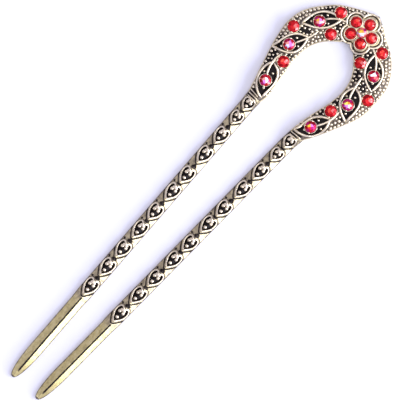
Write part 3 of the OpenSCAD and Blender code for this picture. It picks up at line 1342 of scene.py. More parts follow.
@dataclass
class Sparkle:
    """Chooses the colour of each facet of one stone: the glass's own colour with painted reflections and
    glints.
    """

    stone: StoneFrame
    seed: int
    light_share: float = 0.76
    key_angle: float = -60.0
    play_from: float = 0.5
    # A red table near the key light gets a painted rose highlight in the stones whose glint is high enough
    table_reach: float = 50.0
    glint_from: float = 0.45
    # So do single facets round the table
    flash_reach: float = 40.0
    flash_from: float = 0.6
    draws_per_ring: int = 16

    def __post_init__(self) -> None:
        """Draw the stone's own variation."""
        rng = np.random.default_rng(self.seed)
        self.draws = rng.random((len(FacetRing), self.draws_per_ring))
        self.glint = rng.random()

    def colour(self, ring: FacetRing, number: int, angle: float) -> Colour:
        """Colour of a facet.

        Args:
            ring: Ring that the facet is in.
            number: Its number in the ring.
            angle: The side of the stone that it is on, in radians from the drawing's x.

        Returns:
            The colour, linear.
        """
        play = IRIS_PLAY.get(self.stone.name)
        draw = self.draws[ring.value, number % self.draws_per_ring]
        off_key = abs((math.degrees(angle) - self.key_angle + 180) % 360 - 180)
        on_table = ring is FacetRing.TABLE
        if ring is FacetRing.BACK:
            tint = Tint.WINE
        elif play is not None and (on_table or ring is FacetRing.STAR and draw > self.play_from):
            tint = play[round(angle / (math.pi / 2)) % 4]
        elif on_table and off_key < self.table_reach and self.glint > self.glint_from:
            tint = Tint.ROSE
        elif not on_table and off_key < self.flash_reach and draw > self.flash_from:
            tint = Tint.ROSE
        else:
            choice = RINGS_OF_KIND[self.stone.kind][ring]
            tint = choice[int(draw * len(choice))]
        return tint.base(self.light_share)


@dataclass
class CutStone:
    """A chaton: flat table with the back's star seen through it, kites, girdle facets and a tapered back."""

    frame: StoneFrame
    table_share: float = 0.52
    kite_share: float = 0.79
    back_share: float = 0.5
    crown_h: float = 0.55
    girdle_h: float = 0.12
    kite_rise: float = 0.6
    sides: int = 8

    @staticmethod
    def ring(radius: float, height: float, count: int, turn: float = 0.0) -> list[tuple[float, ...]]:
        """Corners of a level ring.

        Args:
            radius: Radius in millimetres.
            height: Height along the stone's axis.
            count: Number of corners.
            turn: Turn in steps of the ring.

        Returns:
            The corners.
        """
        angles = [2 * math.pi * (k + turn) / count for k in range(count)]
        return [(radius * math.cos(a), radius * math.sin(a), height) for a in angles]

    def corners(self) -> list[tuple[float, ...]]:
        """Every corner in the stone's own frame.

        Returns:
            The table's middle, then the rings of the table, kites, girdle's top, girdle's foot and back.
        """
        n, radius, top = self.sides, SPREAD[self.frame.kind] * self.frame.radius, self.frame.table
        girdle = top - self.crown_h
        return [
            (0.0, 0.0, top),
            *self.ring(self.table_share * radius, top, n),
            *self.ring(self.kite_share * radius, girdle + self.kite_rise * self.crown_h, n, 0.5),
            *self.ring(radius, girdle, 2 * n),
            *self.ring(radius, girdle - self.girdle_h, 2 * n),
            *self.ring(self.back_share * radius, self.frame.back, n),
        ]

    def facets(self) -> list[tuple[list[int], FacetRing, int, float]]:
        """Every facet.

        Returns:
            Its corner numbers, its ring, its number in the ring and the side that it is on.
        """
        n = self.sides
        table, kite, rim, foot, back = 1, 1 + n, 1 + 2 * n, 1 + 4 * n, 1 + 6 * n
        half = math.pi / n
        found = []
        for k in range(n):
            after, before = (k + 1) % n, (k - 1) % n
            even, odd, next_even = 2 * k, 2 * k + 1, (2 * k + 2) % (2 * n)
            angle = 2 * half * k
            found += [
                ([0, table + k, table + after], FacetRing.TABLE, k, angle + half),
                ([table + k, kite + k, table + after], FacetRing.STAR, k, angle + half),
                ([table + k, kite + before, rim + even, kite + k], FacetRing.KITE, k, angle),
                ([kite + k, rim + even, rim + odd], FacetRing.RIM, even, angle + half / 2),
                ([kite + k, rim + odd, rim + next_even], FacetRing.RIM, odd, angle + 1.5 * half),
                ([rim + even, foot + even, foot + odd, rim + odd], FacetRing.RIM, even, angle),
                ([rim + odd, foot + odd, foot + next_even, rim + next_even], FacetRing.RIM, odd, angle),
                ([foot + even, back + k, foot + odd], FacetRing.BACK, k, angle),
                ([foot + odd, back + k, back + after], FacetRing.BACK, k, angle),
                ([foot + odd, back + after, foot + next_even], FacetRing.BACK, k, angle),
            ]
        found.append(([back + k for k in range(n - 1, -1, -1)], FacetRing.BACK, 0, 0.0))
        return found

    def build(self, material: bpy.types.Material, sparkle: Sparkle) -> None:
        """Make the stone in its seat, in place of its solid.

        Args:
            material: Its finish.
            sparkle: Chooses the facets' colours.
        """
        axis, middle, name = self.frame.axis, self.frame.middle, self.frame.name
        level = (Vector((1, 0, 0)) - axis * axis.x).normalized()
        turn = Matrix((level, axis.cross(level), axis)).transposed()
        placed = np.array([middle + turn @ Vector(corner) for corner in self.corners()])
        facets = self.facets()
        piece = mesh_object(f"{name}_cut", placed, [facet[0] for facet in facets])
        # Each facet's colour is the glass's own colour with painted reflections and glints
        paint = piece.data.color_attributes.new(FACET_COLOUR_AND_GLINT, "FLOAT_COLOR", "CORNER")
        for face, (_, *place) in zip(piece.data.polygons, facets):
            colour = sparkle.colour(*place)
            for loop in face.loop_indices:
                paint.data[loop].color = colour
        dress(piece, material)
        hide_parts(name)


# Ornament


@dataclass(frozen=True)
class Band:
    """A rounded band that follows paths: its name, its sizes in millimetres and how it is rubbed."""

    name: str
    width: float
    height: float
    lift: float = 0.0
    taper_len: float = 0.0
    wear: Wear = Wear.BAND

    def cast(self, paths: Sequence[Array], brass: bpy.types.Material) -> None:
        """Make the band along every path, as one piece.

        Args:
            paths: Points of each path in drawing millimetres, three columns.
            brass: Its finish.
        """
        source = path_object(f"{self.name}_paths", paths, self.taper_len)
        cast(swept_tree(brass, self.width, self.height), source, self.name, self.wear, brass)

    def lay(self, paths: Sequence[Array], ground: Terrain, brass: bpy.types.Material) -> None:
        """Make the band along flat paths that are laid on the ground."""
        self.cast([ground.lay(path, self.lift)[0] for path in paths], brass)


@dataclass(frozen=True)
class Bead:
    """A flattened bead that stands on many places: its name, its form and how it is rubbed."""

    name: str
    height_share: float
    lift: float = 0.0
    wear: Wear = Wear.BEAD
    segments: int = 12
    rings: int = 8

    def cast(self, places: Array, radii: Array, uprights: Array, brass: bpy.types.Material) -> None:
        """Make the bead on every place, as one piece.

        Args:
            places: Points in drawing millimetres, three columns.
            radii: Radius of each in millimetres.
            uprights: Direction of each.
            brass: Its finish.
        """
        tree = bead_tree(brass, self.height_share, self.segments, self.rings)
        cast(tree, point_object(f"{self.name}_points", places, radii, uprights), self.name, self.wear, brass)

    def lay(self, places: Array, radii: Array, ground: Terrain, brass: bpy.types.Material) -> None:
        """Make the bead on flat places that are laid on the ground."""
        points, normals = ground.lay(places, self.lift)
        self.cast(points, radii, normals, brass)


# Half of a heart that points to -x, against its length and width: flank, lobe and the curl of its scroll
HEART_FLANK = ((-0.5, 0.02), (-0.34, 0.2), (-0.14, 0.5), (0.17, 0.5))
HEART_LOBE = ((0.17, 0.5), (0.42, 0.5), (0.6, 0.28), (0.36, 0.03))
HEART_CURL = ((0.3, 0.0), (0.27, 0.1), (0.2, 0.17))
# Its dot, its scroll ends and the stems beside its cleft
HEART_SPOTS = ((-0.17, 0.0), (0.14, 0.165), (0.14, -0.165), (0.26, 0.1), (0.26, -0.1))
# Half of the kite behind it, from its cleft
KITE_SIDE = ((0.44, 0.0), (0.51, 0.25), (0.6, 0.24))
# Width of the hearts that the spots' radii are given for
FULL_HEART_W = 3.2


@dataclass
class Hearts:
    """Row of hearts on each leg: a rounded band, two scroll ends and a dot."""

    band_w: float = 0.44
    band_h: float = 0.44
    band_lift: float = -0.02
    side_inset: float = 0.06
    scroll_r: float = 0.47
    stem_r: float = 0.48
    dot_r: float = 0.42
    dot_height_share: float = 0.75
    dot_lift: float = -0.12

    @staticmethod
    def half(length: float, width: float, steps: int = 14) -> Array:
        """Half of a heart that points to -x, from its point round the lobe to the cleft.

        Args:
            length: Length from the point to the lobes.
            width: Full width.
            steps: Samples of each of its two curves.

        Returns:
            The points, on the side of +y.
        """
        return np.vstack([cubic(HEART_FLANK, steps)[:-1], cubic(HEART_LOBE, steps)]) * [length, width]

    @staticmethod
    def turn(side: Side) -> Array:
        """Turn from a heart's own frame to a leg, for points in rows."""
        slope = math.atan(LEG_TAN) * side.value
        return np.array([[math.cos(slope), math.sin(slope)], [-math.sin(slope), math.cos(slope)]])

    @staticmethod
    def on_leg(local: Array, heart: Heart, side: Side) -> Array:
        """Turn and move points from a heart's own frame to its place on a leg."""
        return local @ Hearts.turn(side) + [-heart.back, leg_y(-heart.back, side)]

    @staticmethod
    def off_leg(places: Array, heart: Heart, side: Side) -> Array:
        """Turn places on a leg to a heart's own frame."""
        return (places - [-heart.back, leg_y(-heart.back, side)]) @ Hearts.turn(side).T

    def bands(self) -> list[Array]:
        """Middle lines of every half heart, each with the curl that ends in a scroll.

        Returns:
            The paths, two columns.
        """
        paths = []
        for side, heart in product(Side, HEARTS):
            size = np.array([heart.length - self.band_w, heart.width - 2 * self.side_inset])
            half = self.half(*size)
            curl = cubic((half[-1], *(HEART_CURL * size)), 5)[1:]
            for mirror in (1, -1):
                paths.append(self.on_leg(np.vstack([half, curl]) * [1, mirror], heart, side))
        return paths

    def dots(self) -> tuple[Array, Array]:
        """Dots and scroll ends of every heart.

        Returns:
            Places and radii.
        """
        places, radii = [], []
        spot_radii = np.array([self.dot_r, self.scroll_r, self.scroll_r, self.stem_r, self.stem_r])
        for side, heart in product(Side, HEARTS):
            places.append(self.on_leg(np.array(HEART_SPOTS) * [heart.length, heart.width], heart, side))
            radii.append(spot_radii * heart.width / FULL_HEART_W)
        return np.vstack(places), np.concatenate(radii)

    def cast_bands(self, ground: Terrain, brass: bpy.types.Material) -> None:
        """Make the hearts' bands."""
        Band("heart_bands", self.band_w, self.band_h, self.band_lift).lay(self.bands(), ground, brass)

    def cast_dots(self, ground: Terrain, brass: bpy.types.Material) -> None:
        """Make the hearts' dots and scroll ends."""
        Bead("heart_dots", self.dot_height_share, self.dot_lift).lay(*self.dots(), ground, brass)


def petal_centres(stones: Sequence[StoneFrame]) -> Array:
    """Middles of the petals, a little further out than their stones.

    Args:
        stones: Every stone.

    Returns:
        The middles, two columns.
    """
    spots = np.array([stone.spot for stone in stones if stone.kind is StoneKind.PETAL])
    out = spots - FLOWER
    return spots + out / np.linalg.norm(out, axis=1)[:, None] * np.array(PETAL_SHIFTS)[:, None]


def ground_dark(places: Array) -> Array:
    """Share of black in the arch's ground.

    Args:
        places: Points, two columns.

    Returns:
        The share at each place.
    """
    dark = np.zeros(len(places))
    for patch in DARK_GROUND:
        away = spot_distance(places, (patch.x, patch.y))
        dark = np.maximum(dark, smoothstep(patch.radius, patch.radius - PATCH_EDGE, away))
    return dark


@dataclass
class Relief:
    """What is sunk into the body, and how black it is there.

    Depths are millimetres; blacks are patina, from 0 for rubbed bright to 1 for left black, with painted
    shade on the necks' upper halves and in the line beside the blades' ridges. A pair named for a wall, fade
    or span says where that starts and where it is full, in millimetres.
    """

    stones: list[StoneFrame]
    leaf_depth: float = 0.42
    ground_depth: float = 0.14
    seat_depth: float = 0.55
    heart_depth: float = 0.4
    groove_depth: float = 0.09
    kite_depth: float = 0.3
    pit_depth: float = 0.12
    leaf_wall: Point = (0.1, 0.4)
    leaf_fade: Point = (0.05, 0.25)
    seat_wall: Point = (0.1, -0.1)
    ground_wall: Point = (0.1, 0.3)
    petal_outer_r: float = 2.4
    petal_black: float = 0.2
    petal_wall: Point = (0.0, -0.2)
    # The groove inside a petal's rim: its place, its walls and how far it keeps from the other petals
    groove_r: float = 1.87
    groove_wall: Point = (0.2, 0.06)
    groove_side: Point = (-0.5, 0.3)
    groove_clear: Point = (-0.1, 0.1)
    petal_groove_depth: float = 0.1
    petal_groove_black: float = 0.78
    skirt_black: float = 0.76
    skirt_fade: Point = (0.6, 0.25)
    # Black line past a stone, in the flower and outside it
    flower_line: float = 0.1
    stone_line: float = 0.35
    stone_fade: float = 0.2
    # The plain field ends at the point of the arch; it is raised and then held at the body's own height
    field_stop: float = 0.5
    field_end_r: float = 0.35
    field_wall: Point = (0.1, -0.25)
    field_rise: float = 0.22
    field_black: float = 0.06
    arch_edge_black: float = 0.17
    ground_black: float = 0.36
    blade_black: float = 0.21
    heart_row_black: float = 0.11
    row_span: Point = (-1.0, 1.0)
    heart_wall: Point = (0.18, 0.34)
    # A heart's front is the part towards its point, in shares of its length
    front_span: Point = (0.05, -0.15)
    # The chevron and the close line run this far outside a heart
    chevron_at: float = 0.46
    chevron_wall: Point = (0.24, 0.1)
    chevron_black: float = 0.8
    close_at: float = 0.2
    close_wall: Point = (0.12, 0.03)
    close_black: float = 0.66
    pit_spot: Point = (0.54, 0.45)
    pit_wall: Point = (0.36, 0.16)
    pit_black: float = 0.95
    kite_reach: float = 0.85
    kite_wall: Point = (0.0, 0.25)
    kite_black: float = 0.8
    neck_span: Point = (-1.1, -0.9)
    # Painted shade over the neck's patina: lighter on its lower side, which faces the key light, and blacker
    # on its upper side
    neck_shade_fade: Point = (-1.2, 0.0)
    neck_blacks_and_shade: Point = (0.3, 0.85)
    leg_edge_fade: Point = (0.34, 0.1)
    leg_edge_black: float = 0.5
    tip_fade: Point = (0.7, 0.3)
    tip_black: float = 0.6
    # The line beside the blade's ridge is painted shade, cut as a shallow dark groove: its place, its walls
    # and its two ends
    shade_line_past: float = 0.2
    shade_line_wall: Point = (0.3, 0.16)
    shade_line_start: Point = (1.0, 3.0)
    shade_line_end: Point = (1.0, 0.5)
    shade_line_depth: float = 0.05
    shade_line_black: float = 0.85

    def sink_leaves(self, places: Array, depth: Array, black: Array) -> None:
        """Sink the floors of the leaves and blacken them.

        Args:
            places: Points, two columns.
            depth: Depth of each, which is changed.
            black: Patina of each, which is changed.
        """
        for outline in map(leaf_outline, LEAVES):
            inside = is_inside(places, outline)
            near = path_distance(places[inside], outline)
            depth[inside] = np.maximum(depth[inside], self.leaf_depth * smoothstep(*self.leaf_wall, near))
            black[inside] = np.maximum(black[inside], smoothstep(*self.leaf_fade, near))

    def sink_seats(self, places: Array, depth: Array, black: Array) -> None:
        """Sink the seats under the stones and blacken them.

        Args:
            places: Points, two columns.
            depth: Depth of each, which is changed.
            black: Patina of each, which is changed.
        """
        for stone in self.stones:
            past = spot_distance(places, stone.spot) - stone.radius
            depth[:] = np.maximum(depth, self.seat_depth * smoothstep(*self.seat_wall, past))
            in_flower = stone.kind in (StoneKind.PETAL, StoneKind.CENTRE)
            reach = self.flower_line if in_flower else self.stone_line
            black[:] = np.maximum(black, smoothstep(reach, reach - self.stone_fade, past))

    def raise_flower(self, places: Array, depth: Array, black: Array) -> None:
        """Raise the plain field that fills the point of the arch, and shape the ground of the petals.

        Args:
            places: Points, two columns.
            depth: Depth of each, which is changed.
            black: Patina of each, which is changed.
        """
        centres = petal_centres(self.stones)
        start, end = centres[POINT_PETAL], np.array([POINT.outer_x - self.field_stop, POINT.outer_y])
        run = np.clip((places[:, 0] - start[0]) / (end[0] - start[0]), 0, 1)
        field_r = self.petal_outer_r * (1 - run) + self.field_end_r * run
        away = path_distance(places, np.vstack([start, end]))
        field = smoothstep(*self.field_wall, away - field_r)
        depth[:] = depth * (1 - field) - self.field_rise * field
        black[:] = black * (1 - field) + self.field_black * field
        past = spot_distance(places, centres) - self.petal_outer_r
        black[:] = np.maximum(black, self.skirt_black * (1 - field) * smoothstep(*self.skirt_fade, past))
        for number, centre in enumerate(centres):
            near = spot_distance(places, centre)
            disc = smoothstep(*self.petal_wall, near - self.petal_outer_r)
            # The groove runs inside the rim, on the outer side and clear of the other petals
            out = (centre - FLOWER) / np.linalg.norm(centre - FLOWER)
            outward = (places - centre) @ out / np.maximum(near, 1e-6)
            others = spot_distance(places, np.delete(centres, number, axis=0))
            groove = smoothstep(*self.groove_wall, np.abs(near - self.groove_r))
            groove = groove * smoothstep(*self.groove_side, outward)
            groove = groove * smoothstep(*self.groove_clear, others - self.groove_r)
            depth[:] = depth * (1 - disc) + self.petal_groove_depth * groove
            stain = self.petal_groove_black * groove
            black[:] = np.maximum(black * (1 - disc) + self.petal_black * disc, stain)

    def arch(self, top: Array) -> tuple[Array, Array]:
        """Depth and blackness over the arch.

        Args:
            top: The arch's upper surface by section and column.

        Returns:
            Depth in millimetres and patina, by section and column.
        """
        places = top[..., :2].reshape(-1, 2)
        free = smoothstep(*self.ground_wall, edge_distance(places, top[:, 0, :2], top[:, -1, :2]))
        depth = self.ground_depth * free
        black = self.arch_edge_black + free * self.ground_black * (1 + ground_dark(places))
        self.raise_flower(places, depth, black)
        self.sink_leaves(places, depth, black)
        self.sink_seats(places, depth, black)
        return depth.reshape(top.shape[:2]), black.reshape(top.shape[:2])

    def heart(self, local: Array, heart: Heart, after: Heart | None) -> tuple[Array, Array]:
        """Depth and blackness round one heart.

        Args:
            local: Places in the heart's own frame.
            heart: The heart.
            after: The next heart towards the neck, where there is one.

        Returns:
            Depth in millimetres and patina of each place.
        """
        size = np.array([heart.length, heart.width])
        half = Hearts.half(*size)
        outline = np.vstack([half, (half * [1, -1])[::-1]])
        near = path_distance(local, closed(outline))
        inside = is_inside(local, outline)
        floor = inside * smoothstep(*self.heart_wall, near)
        # Outside, a broad chevron runs before the point and a fine line round the lobes
        front = smoothstep(*self.front_span, local[:, 0] / heart.length)
        chevron = ~inside * front * smoothstep(*self.chevron_wall, np.abs(near - self.chevron_at))
        close = ~inside * (1 - front) * smoothstep(*self.close_wall, np.abs(near - self.close_at))
        pit = smoothstep(*self.pit_wall, spot_distance(local, size * self.pit_spot))
        kite = np.zeros(len(local))
        if after is not None:
            # A small kite fills the ground between the lobes and the next heart's point
            room = heart.back - after.back - (heart.length + after.length) / 2
            side = np.array(KITE_SIDE) * size
            far = [heart.length / 2 + self.kite_reach * room, 0]
            corners = np.vstack([side, far, (side * [1, -1])[:0:-1]])
            free = is_inside(local, corners) & ~inside
            kite = free * smoothstep(*self.kite_wall, path_distance(local, closed(corners)))
        cuts = (
            self.heart_depth * floor,
            self.groove_depth * np.maximum(chevron, close),
            self.pit_depth * pit,
            self.kite_depth * kite,
        )
        stains = (
            floor,
            self.chevron_black * chevron,
            self.close_black * close,
            self.pit_black * pit,
            self.kite_black * np.sqrt(kite),
        )
        return np.maximum.reduce(cuts), np.maximum.reduce(stains)

    def leg(self, top: Array, side: Side) -> tuple[Array, Array]:
        """Depth and blackness over a leg.

        Args:
            top: The leg's upper surface by section and column.
            side: Which leg.

        Returns:
            Depth in millimetres and patina, by section and column.
        """
        places = top[..., :2].reshape(-1, 2)
        x, away = places[:, 0], places[:, 0] + LEG_LEN
        over = places[:, 1] - leg_y(x, side)
        depth = np.zeros(len(places))
        black = self.blade_black + self.heart_row_black * smoothstep(*self.row_span, away - PLAIN_LEN)
        for heart, after in zip(HEARTS, (*HEARTS[1:], None)):
            reach = np.abs(x + heart.back) < heart.length
            cut, stain = self.heart(Hearts.off_leg(places[reach], heart, side), heart, after)
            depth[reach] = np.maximum(depth[reach], cut)
            black[reach] = np.maximum(black[reach], stain)
        edge = edge_distance(places, top[:, 0, :2], top[:, -1, :2])
        free = smoothstep(*self.ground_wall, edge)
        # The ground of the neck is blacker on its upper half, away from the key light: painted shade over its
        # patina
        neck = smoothstep(*self.neck_span, x)
        lower, upper = self.neck_blacks_and_shade
        neck_black_and_shade = neck * (lower + (upper - lower) * smoothstep(*self.neck_shade_fade, over))
        # A line beside the ridge of the plain blade is painted shade, cut as a shallow dark groove
        line = smoothstep(*self.shade_line_wall, np.abs(over + self.shade_line_past))
        line = line * smoothstep(*self.shade_line_start, away) * smoothstep(*self.shade_line_end, away - PLAIN_LEN)
        depth = np.maximum(depth, self.ground_depth * neck * free) + self.shade_line_depth * line
        stains = (
            black,
            self.leg_edge_black * smoothstep(*self.leg_edge_fade, edge),
            self.tip_black * smoothstep(*self.tip_fade, away),
            neck_black_and_shade * free,
            self.shade_line_black * line,
        )
        return depth.reshape(top.shape[:2]), np.maximum.reduce(stains).reshape(top.shape[:2])


@dataclass
class Ornament:
    """What is raised on the arch: rims, veins, petals, collars, prongs and grains, and the necks' bars."""

    stones: list[StoneFrame]
    rim_w: float = 0.65
    rim_h: float = 0.72
    vein_w: float = 0.58
    petal_w: float = 0.62
    petal_r: float = 2.27
    # The petals' rims stop this far from the middle of the flower
    flower_r: float = 1.9
    bar_w: float = 0.36
    collar_share: float = 0.1
    bezel_share: float = 0.22
    collar_h_share: float = 0.42
    collar_r_share: float = 1.06
    collar_drop: float = 0.74
    prong_r: float = 0.24
    prong_out: float = 0.1
    prong_drop: float = 0.55
    prong_turn: float = 25.0
    prong_count: int = 4
    seed_r: float = 0.36
    rim_steps: int = 30
    vein_steps: int = 16
    bar_steps: int = 13
    petal_steps: int = 97
    bezel_steps: int = 65
    # A petal's rim ends this far inside the next one, and a bezel this far from the middle stone
    petal_lap: float = 0.1
    bezel_gap: float = 0.2
    grain_r: float = 0.45
    grain_range: Point = (0.88, 1.06)
    small_grain_share: float = 0.84
    sparse_share: float = 0.3
    grain_gap: float = 0.98
    pack_share: float = 0.98
    first_row: float = 0.58
    row_share: float = 0.86
    row_count: int = 10
    stray: float = 0.06
    filler_share: float = 0.8
    tries: int = 40000
    seed: int = 7
    # Free ground starts this far from the petals' middles, the plain field's line and the neck
    petal_clear: float = 2.5
    field_clear: float = 1.5
    neck_clear: float = 1.6
    # A grain keeps these shares of its radius clear of what it lies beside
    edge_share: float = 0.75
    stone_share: float = 0.6
    petal_share: float = 0.5
    band_share: float = 0.45

    def rims(self) -> list[Array]:
        """Middle lines of the leaves' rims."""
        return [rim for leaf in LEAVES for rim in leaf_rims(leaf, self.rim_steps)]

    def veins(self) -> list[Array]:
        """Middle lines of the leaves' veins."""
        return [cubic(leaf.vein, self.vein_steps) for leaf in LEAVES]

    def bars(self) -> list[Array]:
        """Middle lines of the bars across the neck."""
        share = np.linspace(0, 1, self.bar_steps)[:, None]
        return [np.array(bar.start) * (1 - share) + np.array(bar.end) * share for bar in NECK_BARS]

    def petals(self) -> list[Array]:
        """Middle lines of the petals' rims, each open towards the flower's middle.

        Returns:
            The paths, two columns.
        """
        centres = petal_centres(self.stones)
        paths = []
        for number, centre in enumerate(centres):
            out = centre - FLOWER
            turns = np.linspace(0, 2 * math.pi, self.petal_steps)
            angles = math.atan2(out[1], out[0]) - math.pi + turns
            ring = centre + self.petal_r * np.column_stack([np.cos(angles), np.sin(angles)])
            clear = spot_distance(ring, np.delete(centres, number, axis=0)) > self.petal_r - self.petal_lap
            paths.append(ring[clear & (spot_distance(ring, FLOWER) > self.flower_r)])
        return paths

    def bezels(self) -> list[Array]:
        """Middle lines of the petal stones' bezels, each open where the middle stone comes through.

        Returns:
            The paths, three columns.
        """
        middle = next(stone for stone in self.stones if stone.kind is StoneKind.CENTRE)
        clear_r = SPREAD[StoneKind.CENTRE] * middle.radius + self.bezel_gap
        angles = np.linspace(0, 2 * math.pi, self.bezel_steps)
        paths = []
        for stone in self.stones:
            if stone.kind is StoneKind.PETAL:
                toward = middle.middle - stone.middle
                level = (toward - stone.axis * toward.dot(stone.axis)).normalized()
                across = stone.axis.cross(level)
                base = stone.middle + stone.axis * (stone.table - self.collar_drop)
                radius = stone.radius * (self.collar_r_share + self.bezel_share / 2)
                turned = [level * math.cos(angle) + across * math.sin(angle) for angle in angles]
                ring = np.array([base + out * radius for out in turned])
                paths.append(ring[spot_distance(ring[:, :2], middle.spot) > clear_r])
        return paths

    def prongs(self) -> tuple[Array, Array]:
        """Prongs of each stone outside the flower.

        Returns:
            Places and uprights.
        """
        places, uprights = [], []
        for stone, turn in product(self.outer_stones(), range(self.prong_count)):
            angle = math.radians(self.prong_turn + 360 / self.prong_count * turn)
            out = Vector((math.cos(angle), math.sin(angle), 0)) * (stone.radius + self.prong_out)
            level = out - stone.axis * out.dot(stone.axis)
            places.append(stone.middle + level + stone.axis * (stone.table - self.prong_drop))
            uprights.append(stone.axis)
        return np.array(places), np.array(uprights)

    def outer_stones(self) -> list[StoneFrame]:
        """The stones outside the flower."""
        return [stone for stone in self.stones if stone.kind in (StoneKind.LEAF, StoneKind.ROUND)]

    def row(self, edge: Array, offset: float, start: float, side: int) -> Array:
        """A row of places beside an edge.

        Args:
            edge: The edge's points.
            offset: Distance of the row from it.
            start: Where the row starts, in steps.
            side: 1 where the row lies to the right of the edge, -1 to the left.

        Returns:
            The places.
        """
        steps = np.linalg.norm(np.diff(edge, axis=0), axis=1)
        run = np.concatenate([[0], np.cumsum(steps)])
        at = np.arange((start + 0.5) * self.grain_gap, run[-1], self.grain_gap)
        here, before, after = (
            np.column_stack([np.interp(at + shift, run, column) for column in edge.T])
            for shift in (0, -0.2, 0.2)
        )
        ahead = (after - before) / np.linalg.norm(after - before, axis=1)[:, None]
        return here + side * offset * np.column_stack([ahead[:, 1], -ahead[:, 0]])

    def grains(self, outer: Array, inner: Array) -> tuple[Array, Array]:
        """Rows of grains that follow the outer edge and fill the free ground.

        Args:
            outer: The arch's outer edge.
            inner: The arch's inner edge.

        Returns:
            Places and radii.
        """
        rng = np.random.default_rng(self.seed)
        spots = [self.row(outer, self.first_row, 0, 1), self.row(inner, self.first_row, 0, -1)]
        for number in range(1, self.row_count):
            offset = self.first_row + self.row_share * number * self.grain_gap
            spots.append(self.row(outer, offset, 0.5 * (number % 2), 1))
        rows = np.vstack(spots)
        rows = rows + rng.uniform(-self.stray, self.stray, rows.shape)
        low, high = np.minimum(outer, inner).min(axis=0), np.maximum(outer, inner).max(axis=0)
        places = np.vstack([rows, rng.uniform(low, high, (self.tries, 2))])
        radii = self.grain_r * rng.uniform(*self.grain_range, len(places))
        radii[len(rows) :] *= self.filler_share
        dark = ground_dark(places)
        radii = radii * (1 - (1 - self.small_grain_share) * dark)
        room = self.pack_share * radii * (1 + self.sparse_share * dark)
        keep = self.free(places, radii, outer, inner)
        places, radii, room = places[keep], radii[keep], room[keep]
        # Each grain stays where it touches none that was laid before it
        chosen = [0]
        for i in range(1, len(places)):
            away = np.linalg.norm(places[chosen] - places[i], axis=1)
            if np.all(away > room[chosen] + room[i]):
                chosen.append(i)
        return places[chosen], radii[chosen]

    def free(self, places: Array, radii: Array, outer: Array, inner: Array) -> Array:
        """Say which grains lie on free ground.

        Args:
            places: Places of the grains.
            radii: Their radii.
            outer: The arch's outer edge.
            inner: The arch's inner edge.

        Returns:
            True or False for each grain.
        """
        keep = is_inside(places, np.vstack([outer, inner[::-1]]))
        keep &= edge_distance(places, outer, inner) > self.edge_share * radii
        for stone in self.stones:
            collar_r = stone.radius * (1 + self.collar_share)
            keep &= spot_distance(places, stone.spot) > collar_r + self.stone_share * radii
        for paths, width in ((self.rims(), self.rim_w), (self.veins(), self.vein_w)):
            for path in paths:
                keep &= path_distance(places, path) > width / 2 + self.band_share * radii
        for outline in map(leaf_outline, LEAVES):
            keep &= ~is_inside(places, outline)
        centres = petal_centres(self.stones)
        keep &= spot_distance(places, centres) > self.petal_clear + self.petal_share * radii
        field = np.vstack([centres[POINT_PETAL], (POINT.outer_x, POINT.outer_y)])
        return keep & (path_distance(places, field) > self.field_clear) & (places[:, 0] > self.neck_clear)

    def cast_bands(self, ground: Terrain, brass: bpy.types.Material) -> None:
        """Make the rims, the veins and the bars.

        Args:
            ground: The body without what is sunk into it.
            brass: Their finish.
        """
        work = (
            (Band("leaf_rims", self.rim_w, self.rim_h, lift=0.02, taper_len=0.8), self.rims()),
            (Band("leaf_veins", self.vein_w, self.rim_h, lift=-0.02, taper_len=0.8), self.veins()),
            (Band("petal_rims", self.petal_w, self.rim_h), self.petals()),
            (Band("neck_bars", self.bar_w, self.rim_h, lift=-0.12, taper_len=0.5), self.bars()),
        )
        for band, paths in work:
            band.lay(paths, ground, brass)

    def cast_collars(self, brass: bpy.types.Material) -> None:
        """Make the petal stones' bezels, and the collars and prongs of the other stones.

        Args:
            brass: Their finish.
        """
        stone_r = next(stone.radius for stone in self.stones if stone.kind is StoneKind.PETAL)
        width, height = self.bezel_share * stone_r, self.collar_h_share * stone_r
        Band("petal_bezels", width, height, wear=Wear.COLLAR).cast(self.bezels(), brass)
        group = self.outer_stones()
        places = np.array([stone.middle + stone.axis * (stone.table - self.collar_drop) for stone in group])
        radii = np.array([stone.radius for stone in group]) * (self.collar_r_share + self.collar_share / 2)
        source = point_object("collar_points", places, radii, np.array([stone.axis for stone in group]))
        tree = collar_tree(brass, self.collar_share, self.collar_h_share)
        cast(tree, source, "stone_collars", Wear.COLLAR, brass)
        places, uprights = self.prongs()
        bead = Bead("prongs", height_share=0.9, wear=Wear.PRONG)
        bead.cast(places, np.full(len(places), self.prong_r), uprights, brass)

    def cast_beads(self, floor: Terrain, arch: Strip, brass: bpy.types.Material) -> None:
        """Make the leaves' seeds and the grains of the ground.

        Args:
            floor: The body as cast.
            arch: The arch's sections.
            brass: Their finish.
        """
        seeds = np.array([seed for leaf in LEAVES for seed in leaf.seeds])
        bead = Bead("leaf_seeds", height_share=0.9, lift=0.12)
        bead.lay(seeds, np.full(len(seeds), self.seed_r), floor, brass)
        grains, radii = self.grains(arch.outer, arch.inner)
        bead = Bead("ground_grains", height_share=0.7, lift=0.06, segments=8, rings=5)
        bead.lay(grains, radii, floor, brass)
        log.info("%d grains", len(grains))


# Studio


class SoftBox(NamedTuple):
    """A soft box that faces the object: its place and size in metres, how bright its face is, its colour."""

    name: str
    place: tuple[float, float, float]
    size: tuple[float, float]
    radiance: float
    tone: str

    def hang(self) -> None:
        """Add the light."""
        width, height = self.size
        data = bpy.data.lights.new(self.name, "AREA")
        data.shape = "RECTANGLE"
        data.size, data.size_y = width, height
        data.energy = math.pi * width * height * self.radiance
        data.color = hex_linear(self.tone)[:3]
        lamp = linked(self.name, data)
        lamp.location = self.place
        lamp.rotation_euler = (-Vector(self.place)).to_track_quat("-Z", "Y").to_euler()
        lamp.visible_camera = False


